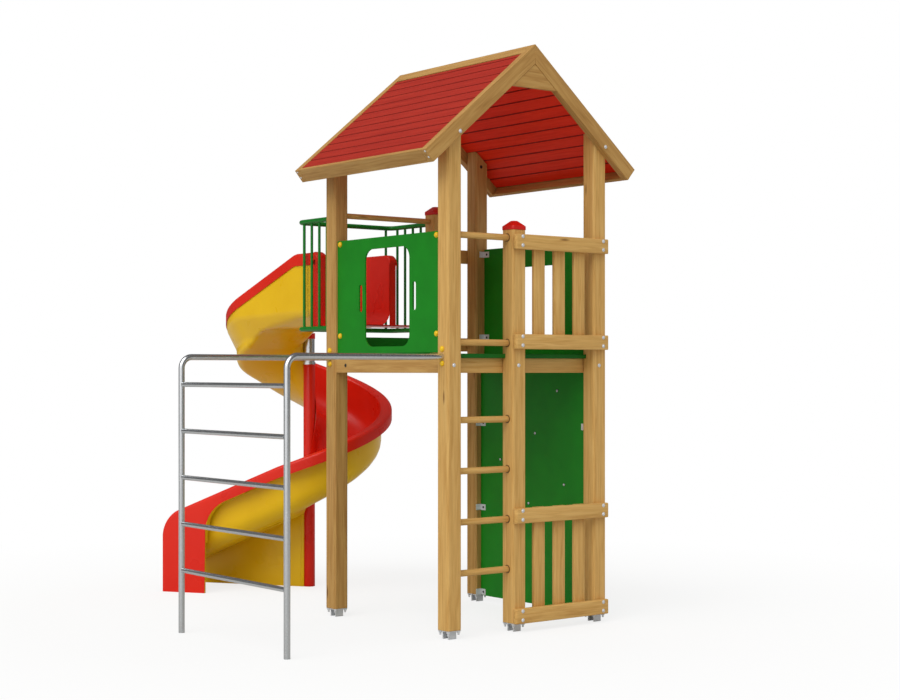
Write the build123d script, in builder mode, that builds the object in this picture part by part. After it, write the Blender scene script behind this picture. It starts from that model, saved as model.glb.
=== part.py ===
from build123d import *
from math import cos, radians, sin, tan
import os

# Play tower with a gabled roof, a spiral slide, a rung ladder, a climbing wall and a steel climbing frame.
# Millimetres, +Z up. The origin is on the ground under the centre of the front left post,
# +X runs along the front to the front right post, and +Y runs back to the slide.

# Posts and their plan
post_size = 95.0
post_chamfer = 10.0
span_x = 1035.0
span_y = 1050.0
middle_front_x = 444.0
middle_back_from_right = 322.0
post_foot_gap = 47.0
front_middle_top = 2170.0
back_middle_top = 2340.0
fit = 0.3

# Steel anchors under the posts
anchor_plate = 80.0
anchor_plate_thickness = 6.0
anchor_web = 5.0
anchor_depth = 46.0
anchor_width = 60.0

# Caps on the short posts
cap_overhang = 3.0
cap_band = 18.0
cap_height = 50.0
cap_tip = 22.0

# Platform
deck_top = 1500.0
deck_thickness = 23.0
deck_edge_inset = 62.0
beam_height = 80.0
beam_thickness = 45.0
side_beam_inset = 10.0

# Ladder and grab bars
rung_diameter = 35.0
rung_first = 338.0
rung_step = 270.0
rung_count = 4
rung_deck_height = 1559.0
rung_hand_height = 2128.0
back_bar_diameter = 32.0
back_bar_below_cap = 40.0

# Fences
rail_height = 81.0
rail_thickness = 35.0
rail_round = 14.0
slat_width = 76.0
slat_thickness = 20.0
front_slats = 3
fence_low_bottom = 47.0
fence_low_top = 668.0
fence_high_bottom = 1525.0
fence_high_top = 2144.0
fence_overlap = 38.0

# Green side panels
panel_thickness = 19.0
window_panel_thickness = 10.0
window_panel_outset = 27.0
panel_bottom_gap = 5.0
panel_top = 2147.0
window_bottom = 1542.0
window_top = 2084.0
window_width = 415.0
window_round = 65.0
grip_width = 32.0
grip_height = 155.0
grip_from_middle = 250.0
grip_middle_height = 1812.0
wall_ground_gap = 40.0
threshold_rise = 102.0

# Climbing holds on the outside of the climbing wall, as places from the wall's middle and heights
hold_places = [(-221.0, 1292.0), (-27.0, 1042.0), (291.0, 875.0), (-280.0, 753.0), (31.0, 628.0)]
hold_radius = 55.0
hold_depth = 42.0
hold_taper = 14.0
hold_round = 24.0

# Roof
roof_angle = 40.0
roof_rise = 833.0
roof_side_overhang = 227.5
frame_depth = 82.0
frame_thickness = 45.0
board_recess = 4.0
board_thickness = 22.0
gusset_drop = 239.0
gusset_thickness = 20.0
gusset_clearance = 2.0

# Guard cage at the slide entrance
cage_left_x = 32.0
cage_right_offset = 3.0
cage_reach = 455.0
cage_rail_diameter = 28.0
cage_bar_diameter = 16.0
cage_top_below_cap = 50.0
cage_low_height = 1655.0
cage_bend = 50.0
cage_bar_step = 80.0
cage_bar_count = 4
cage_first_bar = 65.0
cage_end_bar = 41.0

# Steel climbing frame on the left
frame_reach = 1007.0
frame_tube = 33.0
frame_wall = 3.0
frame_top = 1482.0
frame_bend = 60.0
frame_rung = 26.0
frame_rung_first = 337.0
frame_rung_step = 249.5
frame_rung_count = 5

# Slide column
column_from_middle = 103.0
column_reach = 1220.0
column_radius = 35.0
column_wall = 4.0
column_top = 1640.0
sleeve_radius = 37.5
sleeve_top = 1457.0

# Slide chute, measured from the column's axis; heights are taken from the top of the outer rim
chute_wall = 8.0
chute_inner = 38.0
chute_side_gap = 70.0
rim_width = 70.0
rim_drop = 76.0
rim_round = 22.0
rim_inner_round = 25.0
floor_outer_share = 0.36
floor_inner_share = 0.23
chute_depth = 325.0
inner_wall_drop = 30.0
exit_angle = -146.0
entry_angle = 180.0
rim_exit_height = 806.0
spiral_drop = 1073.0
chute_sections = 3
sections_each = 7

# Slide entrance, straight back from the tower and resting on the cage's low rail
entry_gap = 310.0
entry_top = 2115.0
entry_flat = 295.0
entry_rim_inset = 25.0
entry_inner = 2.0
entry_lip = 47.0
entry_lip_end = 16.0
entry_lip_fall = 40.0
lip_round = 10.0
entry_corner = 80.0
flange_depth = 60.0
landing_thickness = 8.0
landing_lip = 8.0
landing_lip_width = 90.0

# Slide exit, straight on from the last section
exit_length = 783.0
exit_rim_end = 478.0
exit_depth_end = 340.0
exit_inner_drop = 45.0
leg_start = 490.0
flare_start = 320.0
flare_round = 230.0
exit_corner = 100.0
skirt_thickness = 8.0
skirt_lap = 60.0

# Places worked out from the sizes above
half_post = post_size / 2
roof_apex = back_middle_top + roof_rise
gusset_bottom = roof_apex - gusset_drop
cage_top_height = back_middle_top - cage_top_below_cap
back_bar_height = back_middle_top - back_bar_below_cap
post_tops_angle = radians(roof_angle)
ridge_x = span_x / 2
roof_half_width = ridge_x + roof_side_overhang
middle_back_x = span_x - middle_back_from_right
cage_right_x = middle_back_x + cage_right_offset
cage_far_y = span_y + cage_reach
column_x = middle_back_x - column_from_middle
column_y = span_y + column_reach
entry_front_y = span_y + entry_gap
entry_flat_y = entry_front_y + entry_flat
rim_outer = column_x - chute_side_gap
entry_rim_outer = rim_outer - entry_rim_inset
chute_outer = rim_outer - rim_width
floor_width = chute_outer - chute_inner - 2 * chute_wall
floor_round_outer = floor_outer_share * floor_width
floor_round_inner = floor_inner_share * floor_width
back_face = span_y + half_post
deck_bottom = deck_top - deck_thickness
beam_bottom = deck_bottom - beam_height
side_beam_x = -half_post + side_beam_inset
between_y = span_y - post_size
parts_folder = "parts"
os.makedirs(parts_folder, exist_ok=True)


def save(builder, name):
    """Label a finished piece and write its file."""
    builder.part.label = name
    export_step(builder.part, f"{parts_folder}/{name}.step")


def post_section(x, y, z):
    """Square post section with chamfered corners at one height."""
    with BuildSketch(Plane((x, y, z))) as section:
        Rectangle(post_size, post_size)
        chamfer(section.vertices(), post_chamfer)
    return section.sketch


def roof_line(x, below=0.0):
    """Height of the roof frame's top surface over x, less a depth measured square to the slope."""
    return roof_apex - abs(x - ridge_x) * tan(post_tops_angle) - below / cos(post_tops_angle)


# Tall posts, cut along the slope just under the roof boards
post_top_depth = board_recess + board_thickness + gusset_clearance
tall_posts = {
    "post_front_left": (0.0, 0.0),
    "post_front_right": (span_x, 0.0),
    "post_back_left": (0.0, span_y),
    "post_back_right": (span_x, span_y),
}
for name, (x, y) in tall_posts.items():
    with BuildPart() as post:
        extrude(post_section(x, y, post_foot_gap), amount=roof_apex - post_foot_gap)
        with BuildSketch(Plane((x, y, 0), x_dir=(1, 0, 0), z_dir=(0, -1, 0))) as above:
            with BuildLine():
                Polyline(
                    (-post_size, roof_line(x - post_size, post_top_depth)),
                    (post_size, roof_line(x + post_size, post_top_depth)),
                    (post_size, roof_apex + post_size),
                    (-post_size, roof_apex + post_size),
                    close=True,
                )
            make_face()
        extrude(amount=post_size, both=True, mode=Mode.SUBTRACT)
    save(post, name)

# Short posts: one beside the ladder, one beside the slide, which stands on the outside of the back beam
with BuildPart() as post_front_middle:
    extrude(post_section(middle_front_x, 0, post_foot_gap), amount=front_middle_top - post_foot_gap)
save(post_front_middle, "post_front_middle")

with BuildPart() as post_back_middle:
    extrude(post_section(middle_back_x, span_y, beam_bottom), amount=back_middle_top - beam_bottom)
save(post_back_middle, "post_back_middle")

# Pyramid caps
caps = {
    "post_cap_front": (middle_front_x, 0.0, front_middle_top),
    "post_cap_back": (middle_back_x, span_y, back_middle_top),
}
cap_size = post_size + 2 * cap_overhang
for name, (x, y, z) in caps.items():
    with BuildPart() as cap:
        with BuildSketch(Plane((x, y, z))) as band:
            RectangleRounded(cap_size, cap_size, post_chamfer)
        extrude(amount=cap_band)
        with BuildSketch(Plane((x, y, z + cap_band))) as low:
            RectangleRounded(cap_size, cap_size, post_chamfer)
        with BuildSketch(Plane((x, y, z + cap_height))) as high:
            RectangleRounded(cap_tip, cap_tip, post_chamfer * cap_tip / cap_size)
        loft()
    save(cap, name)

# Anchors: a plate under the wood and an H section down to the ground
feet = {
    "foot_front_left": (0.0, 0.0),
    "foot_front_middle": (middle_front_x, 0.0),
    "foot_front_right": (span_x, 0.0),
    "foot_back_left": (0.0, span_y),
    "foot_back_right": (span_x, span_y),
}
for name, (x, y) in feet.items():
    with BuildPart() as foot:
        with BuildSketch(Plane((x, y, 0))) as leg:
            Rectangle(anchor_width, anchor_web)
            with GridLocations(anchor_width - anchor_web, 0, 2, 1):
                Rectangle(anchor_web, anchor_depth)
        extrude(amount=post_foot_gap - anchor_plate_thickness)
        with BuildSketch(Plane((x, y, post_foot_gap - anchor_plate_thickness))) as plate:
            Rectangle(anchor_plate, anchor_plate)
        extrude(amount=anchor_plate_thickness)
    save(foot, name)

# Platform beams: the side beams stand between the posts, the end beams between the side beams
side_beams = {"beam_left": side_beam_x, "beam_right": span_x - side_beam_x - beam_thickness}
for name, x in side_beams.items():
    with BuildPart() as beam:
        with BuildSketch(Plane((x + beam_thickness / 2, half_post + between_y / 2, beam_bottom))) as foot_print:
            Rectangle(beam_thickness, between_y)
        extrude(amount=beam_height)
    save(beam, name)

end_beam_length = span_x - 2 * (side_beam_x + beam_thickness)
end_beams = {"beam_front": half_post + beam_thickness / 2, "beam_back": span_y - half_post - beam_thickness / 2}
for name, y in end_beams.items():
    with BuildPart() as beam:
        with BuildSketch(Plane((ridge_x, y, beam_bottom))) as foot_print:
            Rectangle(end_beam_length, beam_thickness)
        extrude(amount=beam_height)
    save(beam, name)

# Deck, notched round the posts
deck_front = -half_post + deck_edge_inset
with BuildPart() as deck:
    with BuildSketch(Plane((ridge_x, span_y / 2, deck_bottom))) as sheet:
        Rectangle(span_x - 2 * side_beam_x, span_y - 2 * deck_front)
    extrude(amount=deck_thickness)
    with BuildSketch(Plane.XY.offset(deck_bottom)) as notches:
        with Locations(*tall_posts.values(), (middle_front_x, 0), (middle_back_x, span_y)):
            Rectangle(post_size + 2 * fit, post_size + 2 * fit)
    extrude(amount=deck_thickness, mode=Mode.SUBTRACT)
save(deck, "deck")

# Ladder rungs between the front left post and the front middle post
rung_heights = [rung_first + rung_step * i for i in range(rung_count)] + [rung_deck_height, rung_hand_height]
ladder_width = middle_front_x - post_size
with BuildPart() as ladder_rungs:
    for height in rung_heights:
        with BuildSketch(Plane((half_post, 0, height), x_dir=(0, 1, 0), z_dir=(1, 0, 0))) as rung:
            Circle(rung_diameter / 2)
        extrude(amount=ladder_width)
save(ladder_rungs, "ladder_rungs")

# Round bar over the way to the slide
with BuildPart() as slide_bar:
    with BuildSketch(Plane((half_post, span_y, back_bar_height), x_dir=(0, 1, 0), z_dir=(1, 0, 0))) as bar:
        Circle(back_bar_diameter / 2)
    extrude(amount=middle_back_x - post_size)
save(slide_bar, "slide_bar")


def fence(name, left, right, bottom, top, slats, face, outward):
    """Two rails on the posts' outer faces with upright slats between the posts behind them."""
    rail_left = left - fence_overlap
    rail_right = right + fence_overlap
    clear = right - left - post_size
    gap = (clear - slats * slat_width) / (slats + 1)
    with BuildPart() as panel:
        for rail_bottom in (bottom, top - rail_height):
            with BuildSketch(Plane(((rail_left + rail_right) / 2, face, rail_bottom))) as rail:
                with Locations((0, outward * rail_thickness / 2)):
                    Rectangle(rail_right - rail_left, rail_thickness)
            extrude(amount=rail_height)
        ends = panel.edges().filter_by(Axis.Z).group_by(Axis.Y)[0 if outward < 0 else -1]
        fillet(ends, rail_round)
        for i in range(slats):
            x = left + half_post + gap + slat_width / 2 + i * (slat_width + gap)
            with BuildSketch(Plane((x, face - outward * slat_thickness / 2, bottom))) as slat:
                Rectangle(slat_width, slat_thickness)
            extrude(amount=top - bottom)
    save(panel, name)


fence("fence_front_upper", middle_front_x, span_x, fence_high_bottom, fence_high_top, front_slats, -half_post, -1)
fence("fence_front_lower", middle_front_x, span_x, fence_low_bottom, fence_low_top, front_slats, -half_post, -1)
fence("fence_back", middle_back_x, span_x, fence_high_bottom, fence_high_top, 1, back_face, 1)

# Green side panels with a window and two grip slots
panel_bottom = deck_top + panel_bottom_gap
panel_middle = span_y / 2
panel_offset = window_panel_outset - window_panel_thickness / 2
for name, x in (("window_panel_left", -panel_offset), ("window_panel_right", span_x + panel_offset)):
    with BuildPart() as panel:
        with BuildSketch(Plane((x, panel_middle, 0), x_dir=(0, 1, 0), z_dir=(1, 0, 0))) as outline:
            with Locations((0, (panel_bottom + panel_top) / 2)):
                Rectangle(between_y - 2 * fit, panel_top - panel_bottom)
            with Locations((0, (window_bottom + window_top) / 2)):
                RectangleRounded(window_width, window_top - window_bottom, window_round, mode=Mode.SUBTRACT)
            with Locations((-grip_from_middle, grip_middle_height), (grip_from_middle, grip_middle_height)):
                SlotOverall(grip_height, grip_width, rotation=90, mode=Mode.SUBTRACT)
        extrude(amount=window_panel_thickness / 2, both=True)
    save(panel, name)

# Climbing wall under the right side of the platform, and its holds
wall_outer_x = span_x + panel_thickness / 2
with BuildPart() as climbing_wall:
    with BuildSketch(Plane((span_x, panel_middle, 0), x_dir=(0, 1, 0), z_dir=(1, 0, 0))) as outline:
        with Locations((0, (wall_ground_gap + beam_bottom) / 2)):
            Rectangle(between_y - 2 * fit, beam_bottom - wall_ground_gap - 2 * fit)
    extrude(amount=panel_thickness / 2, both=True)
save(climbing_wall, "climbing_wall")

with BuildPart() as climbing_holds:
    for place, z in hold_places:
        with BuildSketch(Plane((wall_outer_x, span_y / 2 + place, z), x_dir=(0, 1, 0), z_dir=(1, 0, 0))) as base:
            Circle(hold_radius)
        extrude(amount=hold_depth, taper=hold_taper)
    fillet(climbing_holds.edges().group_by(Axis.X)[-1], hold_round)
save(climbing_holds, "climbing_holds")

# Threshold board across the way to the slide, standing against the deck's back edge
threshold_y = span_y - deck_front + fit
with BuildPart() as threshold_board:
    threshold_width = middle_back_x - post_size - 2 * fit
    with BuildSketch(Plane((middle_back_x / 2, threshold_y + panel_thickness / 2, deck_bottom))) as foot_print:
        Rectangle(threshold_width, panel_thickness)
    extrude(amount=deck_thickness + threshold_rise)
save(threshold_board, "threshold_board")

# Roof frame: rafters on the outer faces of the posts, mitred at the ridge
roof_dir = {"left": -1, "right": 1}
gables = {"rafters_front": -half_post - frame_thickness / 2, "rafters_back": back_face + frame_thickness / 2}
for name, y in gables.items():
    with BuildPart() as rafters:
        for side in roof_dir.values():
            tip_x = ridge_x + side * roof_half_width
            with BuildSketch(Plane((0, y, 0), x_dir=(1, 0, 0), z_dir=(0, -1, 0))) as rafter:
                with BuildLine():
                    Polyline(
                        (ridge_x + side * fit, roof_line(ridge_x)),
                        (tip_x, roof_line(tip_x)),
                        (
                            tip_x - side * frame_depth * sin(post_tops_angle),
                            roof_line(tip_x) - frame_depth * cos(post_tops_angle),
                        ),
                        (ridge_x + side * fit, roof_line(ridge_x, frame_depth)),
                        close=True,
                    )
                make_face()
            extrude(amount=frame_thickness / 2, both=True)
    save(rafters, name)

# Gussets behind the rafters at both gable tops
gussets = {"gusset_front": -half_post + gusset_thickness / 2, "gusset_back": back_face - gusset_thickness / 2}
gusset_half = (roof_line(ridge_x, frame_depth) - gusset_bottom) / tan(post_tops_angle)
gusset_lap = (roof_line(ridge_x, post_top_depth) - roof_line(ridge_x, frame_depth)) / tan(post_tops_angle)
for name, y in gussets.items():
    with BuildPart() as gusset:
        with BuildSketch(Plane((ridge_x, y, 0), x_dir=(1, 0, 0), z_dir=(0, -1, 0))) as plate:
            with BuildLine():
                Polyline(
                    (0, roof_line(ridge_x, post_top_depth)),
                    (gusset_half + gusset_lap, gusset_bottom),
                    (-gusset_half - gusset_lap, gusset_bottom),
                    close=True,
                )
            make_face()
        extrude(amount=gusset_thickness / 2, both=True)
    save(gusset, name)

# Eave boards, ridge boards and the red boarding between them, drawn on each slope and run along Y
slope_length = roof_half_width / cos(post_tops_angle)
roof_length = between_y + 2 * post_size - 2 * fit
roof_middle = span_y / 2


def slope_plane(side):
    """Plane across a slope: local x runs down the slope from the ridge, local y is square to the roof."""
    down = (side * cos(post_tops_angle), 0, -sin(post_tops_angle))
    return Plane((ridge_x, roof_middle, roof_apex), x_dir=down, z_dir=(0, -side, 0))


def roof_strip(sketch_plane, start, stop, top, bottom):
    """Sketch of a strip on a slope between two distances from the ridge."""
    with BuildSketch(sketch_plane) as strip:
        with Locations(((start + stop) / 2, -(top + bottom) / 2)):
            Rectangle(stop - start, bottom - top)
    return strip.sketch


for side_name, side in roof_dir.items():
    plane = slope_plane(side)
    with BuildPart() as eave:
        extrude(roof_strip(plane, slope_length - frame_thickness, slope_length, 0, frame_depth),
                amount=roof_length / 2, both=True)
    save(eave, f"eave_board_{side_name}")
    with BuildPart() as boards:
        extrude(
            roof_strip(
                plane,
                frame_thickness + fit,
                slope_length - frame_thickness - fit,
                board_recess,
                board_recess + board_thickness,
            ),
            amount=roof_length / 2,
            both=True,
        )
    save(boards, f"roof_boards_{side_name}")
    with BuildPart() as ridge:
        extrude(roof_strip(plane, -frame_thickness, frame_thickness, 0, post_top_depth - fit),
                amount=roof_length / 2, both=True)
        split(bisect_by=Plane((ridge_x + side * fit, 0, 0), z_dir=(side, 0, 0)), keep=Keep.TOP)
    save(ridge, f"ridge_board_{side_name}")


# Guard cage: a top and a low rail bent round the slide's entrance, joined by upright bars
cage_start_y = back_face + fit
for name, height in (("cage_rail_top", cage_top_height), ("cage_rail_low", cage_low_height)):
    with BuildPart() as rail:
        with BuildLine() as path:
            FilletPolyline(
                (cage_left_x, cage_start_y, height),
                (cage_left_x, cage_far_y, height),
                (cage_right_x, cage_far_y, height),
                (cage_right_x, cage_start_y, height),
                radius=cage_bend,
            )
        with BuildSketch(Plane((cage_left_x, cage_start_y, height), z_dir=(0, 1, 0))) as round_section:
            Circle(cage_rail_diameter / 2)
        sweep(path=path.wires()[0])
    save(rail, name)

bar_start = cage_low_height + cage_rail_diameter / 2 + fit
bar_stop = cage_top_height - cage_rail_diameter / 2 - fit
cage_sides = {"cage_bars_left": (cage_left_x, cage_end_bar), "cage_bars_right": (cage_right_x, -cage_end_bar)}
for name, (x, inward) in cage_sides.items():
    bar_places = [(x, cage_far_y - cage_first_bar - i * cage_bar_step) for i in range(cage_bar_count)]
    bar_places.append((x + inward, cage_far_y))
    with BuildPart() as bars:
        with BuildSketch(Plane.XY.offset(bar_start)) as feet_of_bars:
            with Locations(*bar_places):
                Circle(cage_bar_diameter / 2)
        extrude(amount=bar_stop - bar_start)
    save(bars, name)

# Steel climbing frame: two bent uprights and straight rungs
for name, y in (("frame_tube_front", 0.0), ("frame_tube_back", span_y)):
    with BuildPart() as tube:
        with BuildLine() as path:
            FilletPolyline(
                (-frame_reach, y, 0),
                (-frame_reach, y, frame_top),
                (-half_post - fit, y, frame_top),
                radius=frame_bend,
            )
        with BuildSketch(Plane((-frame_reach, y, 0))) as ring:
            Circle(frame_tube / 2)
            Circle(frame_tube / 2 - frame_wall, mode=Mode.SUBTRACT)
        sweep(path=path.wires()[0])
    save(tube, name)

with BuildPart() as frame_rungs:
    for i in range(frame_rung_count):
        height = frame_rung_first + i * frame_rung_step
        start_y = frame_tube / 2 + fit
        with BuildSketch(Plane((-frame_reach, start_y, height), z_dir=(0, 1, 0))) as rung:
            Circle(frame_rung / 2)
        extrude(amount=span_y - 2 * start_y)
save(frame_rungs, "frame_rungs")

# Slide column and the sleeve round it
with BuildPart() as slide_column:
    with BuildSketch(Plane((column_x, column_y, 0))) as ring:
        Circle(column_radius)
        Circle(column_radius - column_wall, mode=Mode.SUBTRACT)
    extrude(amount=column_top)
save(slide_column, "slide_column")

with BuildPart() as slide_sleeve:
    with BuildSketch(Plane((column_x, column_y, 0))) as ring:
        Circle(sleeve_radius)
        Circle(column_radius + fit, mode=Mode.SUBTRACT)
    extrude(amount=sleeve_top)
save(slide_sleeve, "slide_sleeve")


# Spiral slide: one trough section, placed on upright planes round the column and lofted
def rim_height(angle):
    """Height of the rim's top where the chute stands at this angle round the column."""
    return rim_exit_height + spiral_drop * (angle - exit_angle) / (entry_angle - exit_angle)


def trough_plane(angle, along, height):
    """Upright plane across the chute: local x points away from the column, local y up."""
    out = Vector(cos(radians(angle)), sin(radians(angle)), 0)
    ahead = Vector(sin(radians(angle)), -cos(radians(angle)), 0)
    origin = Vector(column_x, column_y, height) + ahead * along
    return Plane(origin, x_dir=out, z_dir=ahead)


def trough(plane, depth, inner_drop, rim=rim_outer, inner=chute_inner, lip=0.0):
    """Shell section: rim lip, outer wall, rounded floor, inner wall and its lip, one wall thickness all round."""
    t = chute_wall
    drawn = [
        (rim, -rim_drop),
        (rim, 0),
        (chute_outer - t, 0),
        (chute_outer - t, -depth),
        (inner + t, -depth),
        (inner + t, -inner_drop),
    ]
    below = [
        (rim - t, -rim_drop),
        (rim - t, -t),
        (chute_outer, -t),
        (chute_outer, -depth - t),
        (inner, -depth - t),
        (inner, -inner_drop),
    ]
    bends = [rim_round, rim_inner_round, floor_round_outer, floor_round_inner]
    bends_below = [rim_round - t, rim_inner_round - t, floor_round_outer + t, floor_round_inner + t]
    if lip:
        below[-1] = (inner, -inner_drop - t)
        drawn += [(inner - lip, -inner_drop), (inner - lip, -inner_drop - entry_lip_fall)]
        below += [(inner - lip + t, -inner_drop - t), (inner - lip + t, -inner_drop - entry_lip_fall)]
        bends += [lip_round, lip_round]
        bends_below += [lip_round - t, lip_round - t]
    with BuildSketch(plane) as section:
        with BuildLine():
            inside = FilletPolyline(*drawn, radius=tuple(bends))
            outside = FilletPolyline(*below, radius=tuple(bends_below))
            Line(inside @ 0, outside @ 0)
            Line(inside @ 1, outside @ 1)
        make_face()
    return section.sketch


section_names = ("slide_chute_upper", "slide_chute_middle", "slide_chute_lower")
section_turn = (entry_angle - exit_angle) / chute_sections
for number, name in enumerate(section_names):
    start = entry_angle - number * section_turn
    angles = [start - section_turn * i / (sections_each - 1) for i in range(sections_each)]
    with BuildPart() as chute:
        loft([trough(trough_plane(a, 0, rim_height(a)), chute_depth, inner_wall_drop) for a in angles])
    save(chute, name)


def corner_cutter(plane, corner, rounding, past):
    """Sketch of what lies outside a quarter round at the top corner of a side view, which runs towards +x."""
    bend = rounding * (1 - sin(radians(45)))
    with BuildSketch(plane) as cutter:
        with BuildLine():
            x, top = corner
            ThreePointArc((x - rounding, top), (x - bend, top - bend), (x, top - rounding))
            Polyline(
                (x, top - rounding),
                (x + past, top - rounding),
                (x + past, top + past),
                (x - rounding, top + past),
                (x - rounding, top),
            )
        make_face()
    return cutter.sketch


# Straight entrance: tall walls at the tower that come down to the first section
entry_floor = cage_low_height + cage_rail_diameter / 2 + fit + chute_wall
entry_end_rim = rim_height(entry_angle)
entry_run = column_y - entry_front_y
slope_run = column_y - entry_flat_y
entry_stations = [0.0, slope_run * 0.35, slope_run * 0.7, slope_run]
entry_sections = []
for back in entry_stations:
    rise = back / slope_run
    height = entry_end_rim + (entry_top - entry_end_rim) * rise
    floor = entry_end_rim - chute_depth + (entry_floor - entry_end_rim + chute_depth) * rise
    plane = trough_plane(entry_angle, -back, height)
    rim = rim_outer + (entry_rim_outer - rim_outer) * rise
    inner = chute_inner + (entry_inner - chute_inner) * rise
    lip = entry_lip_end + (entry_lip - entry_lip_end) * rise
    entry_sections.append(trough(plane, height - floor, inner_wall_drop * (1 - rise), rim, inner, lip))

# The flange at the front turns outwards beside both walls and back along their outsides
flange_top = entry_top - rim_round - chute_wall / 2
flange_sides = {-1: (chute_outer - chute_wall, rim_outer), 1: (entry_inner - entry_lip, entry_inner + chute_wall)}
with BuildPart() as slide_entry:
    loft(entry_sections)
    extrude(entry_sections[-1], amount=entry_run - slope_run, dir=(0, -1, 0))
    for side, (near, far) in flange_sides.items():
        with BuildSketch(Plane((column_x, entry_front_y, 0))) as flange:
            middle = -(near + far) / 2
            with Locations((middle, chute_wall / 2)):
                Rectangle(far - near, chute_wall)
            with Locations((middle + side * (far - near - chute_wall) / 2, flange_depth / 2)):
                Rectangle(chute_wall, flange_depth)
        extrude(flange.sketch.moved(Location((0, 0, entry_floor - chute_wall))),
                amount=flange_top - entry_floor + chute_wall)
    front_view = Plane((column_x + rim_outer, 0, 0), x_dir=(0, -1, 0), z_dir=(-1, 0, 0))
    corner = corner_cutter(front_view, (-entry_front_y, entry_top), entry_corner, flange_depth)
    extrude(corner, amount=2 * rim_outer + flange_depth, mode=Mode.SUBTRACT)
save(slide_entry, "slide_entry")

# Landing between the tower and the chute, standing on the threshold board
landing_start = threshold_y
landing_width = middle_back_x - post_size - 2 * fit
landing_middle_x = middle_back_x / 2
with BuildPart() as slide_landing:
    with BuildSketch(Plane((landing_middle_x, landing_start, entry_floor - landing_thickness))) as sheet:
        Rectangle(landing_width, entry_front_y - fit - landing_start, align=(Align.CENTER, Align.MIN))
    extrude(amount=landing_thickness)
    threshold_top = deck_top + threshold_rise
    with BuildSketch(Plane((landing_middle_x, landing_start, threshold_top + fit))) as lip:
        lip_offset = (landing_width - landing_lip_width) / 2
        with Locations((-lip_offset, 0), (lip_offset, 0)):
            Rectangle(landing_lip_width, landing_lip, align=(Align.CENTER, Align.MIN))
    extrude(amount=entry_floor - threshold_top - fit)
save(slide_landing, "slide_landing")

# Straight exit: the trough runs out and its outer flange widens and turns down to the ground as a leg
exit_stations = [0.0, 0.33, 0.66, 1.0]
exit_sections = []
for share in exit_stations:
    height = rim_exit_height + (exit_rim_end - rim_exit_height) * share
    depth = chute_depth + (exit_depth_end - chute_depth) * share
    drop = inner_wall_drop + (exit_inner_drop - inner_wall_drop) * share
    exit_sections.append(trough(trough_plane(exit_angle, exit_length * share, height), depth, drop))
exit_fall = (rim_exit_height - exit_rim_end) / exit_length
exit_out = trough_plane(exit_angle, 0, 0).x_dir
exit_ahead = trough_plane(exit_angle, 0, 0).z_dir
column_foot = Vector(column_x, column_y, 0)


def exit_rim(along):
    """Height of the exit's rim at a distance along it."""
    return rim_exit_height - exit_fall * along


def exit_side_plane(out):
    """Upright plane along the exit at a distance from the column's axis: local x runs down the slide."""
    return Plane(column_foot + exit_out * out, x_dir=exit_ahead, z_dir=-exit_out)


leg_seat = rim_round + chute_wall / 2
with BuildPart() as slide_exit:
    loft(exit_sections)
    with BuildSketch(exit_side_plane(rim_outer - chute_wall / 2)) as leg:
        with BuildLine():
            FilletPolyline(
                (flare_start, exit_rim(flare_start) - rim_drop),
                (leg_start, exit_rim(leg_start) - rim_drop),
                (leg_start, 0),
                radius=flare_round,
            )
            Polyline(
                (leg_start, 0),
                (exit_length, 0),
                (exit_length, exit_rim_end - leg_seat),
                (flare_start, exit_rim(flare_start) - leg_seat),
                (flare_start, exit_rim(flare_start) - rim_drop),
            )
        make_face()
    extrude(amount=chute_wall)
    end_view = exit_side_plane(rim_outer + chute_wall)
    extrude(corner_cutter(end_view, (exit_length, exit_rim_end), exit_corner, exit_corner),
            amount=rim_outer + 2 * chute_wall, mode=Mode.SUBTRACT)
save(slide_exit, "slide_exit")

# Skirt under the inner edge of the exit, down to the ground
skirt_start = sleeve_radius + skirt_thickness
skirt_top_start = rim_exit_height - inner_wall_drop - skirt_lap
skirt_top_end = exit_rim_end - exit_inner_drop - exit_corner - skirt_lap
with BuildPart() as slide_skirt:
    with BuildSketch(exit_side_plane(chute_inner - fit)) as side:
        with BuildLine():
            Polyline(
                (skirt_start, 0),
                (exit_length, 0),
                (exit_length, skirt_top_end),
                (skirt_start, skirt_top_start),
                close=True,
            )
        make_face()
    extrude(amount=skirt_thickness)
save(slide_skirt, "slide_skirt")
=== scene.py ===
import math

import bmesh
import bpy
from mathutils import Euler, Matrix, Vector


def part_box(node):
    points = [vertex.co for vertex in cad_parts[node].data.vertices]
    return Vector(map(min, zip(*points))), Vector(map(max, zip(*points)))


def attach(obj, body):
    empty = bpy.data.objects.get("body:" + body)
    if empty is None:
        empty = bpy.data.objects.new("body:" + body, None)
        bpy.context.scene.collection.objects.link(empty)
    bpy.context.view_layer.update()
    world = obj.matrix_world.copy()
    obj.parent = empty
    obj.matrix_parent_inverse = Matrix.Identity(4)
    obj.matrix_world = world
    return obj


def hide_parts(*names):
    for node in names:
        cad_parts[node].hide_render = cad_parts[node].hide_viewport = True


# Play tower with a gabled roof, a spiral slide and a steel climbing frame. Metres, +Z up.
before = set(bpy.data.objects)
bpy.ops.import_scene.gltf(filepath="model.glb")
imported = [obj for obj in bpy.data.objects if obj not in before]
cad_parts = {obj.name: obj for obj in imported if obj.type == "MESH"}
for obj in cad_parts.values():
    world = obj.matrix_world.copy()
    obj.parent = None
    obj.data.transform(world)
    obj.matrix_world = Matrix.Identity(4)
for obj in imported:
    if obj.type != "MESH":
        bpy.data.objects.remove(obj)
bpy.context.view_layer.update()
scene = bpy.context.scene
print("frame loaded:", len(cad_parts), "nodes")


# Finishes: sRGB hex colours, real sizes in metres
def linear(hexColour):
    channels = [int(hexColour[i:i + 2], 16) / 255 for i in (1, 3, 5)]
    return [c / 12.92 if c <= 0.04045 else ((c + 0.055) / 1.055) ** 2.4 for c in channels] + [1.0]


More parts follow.
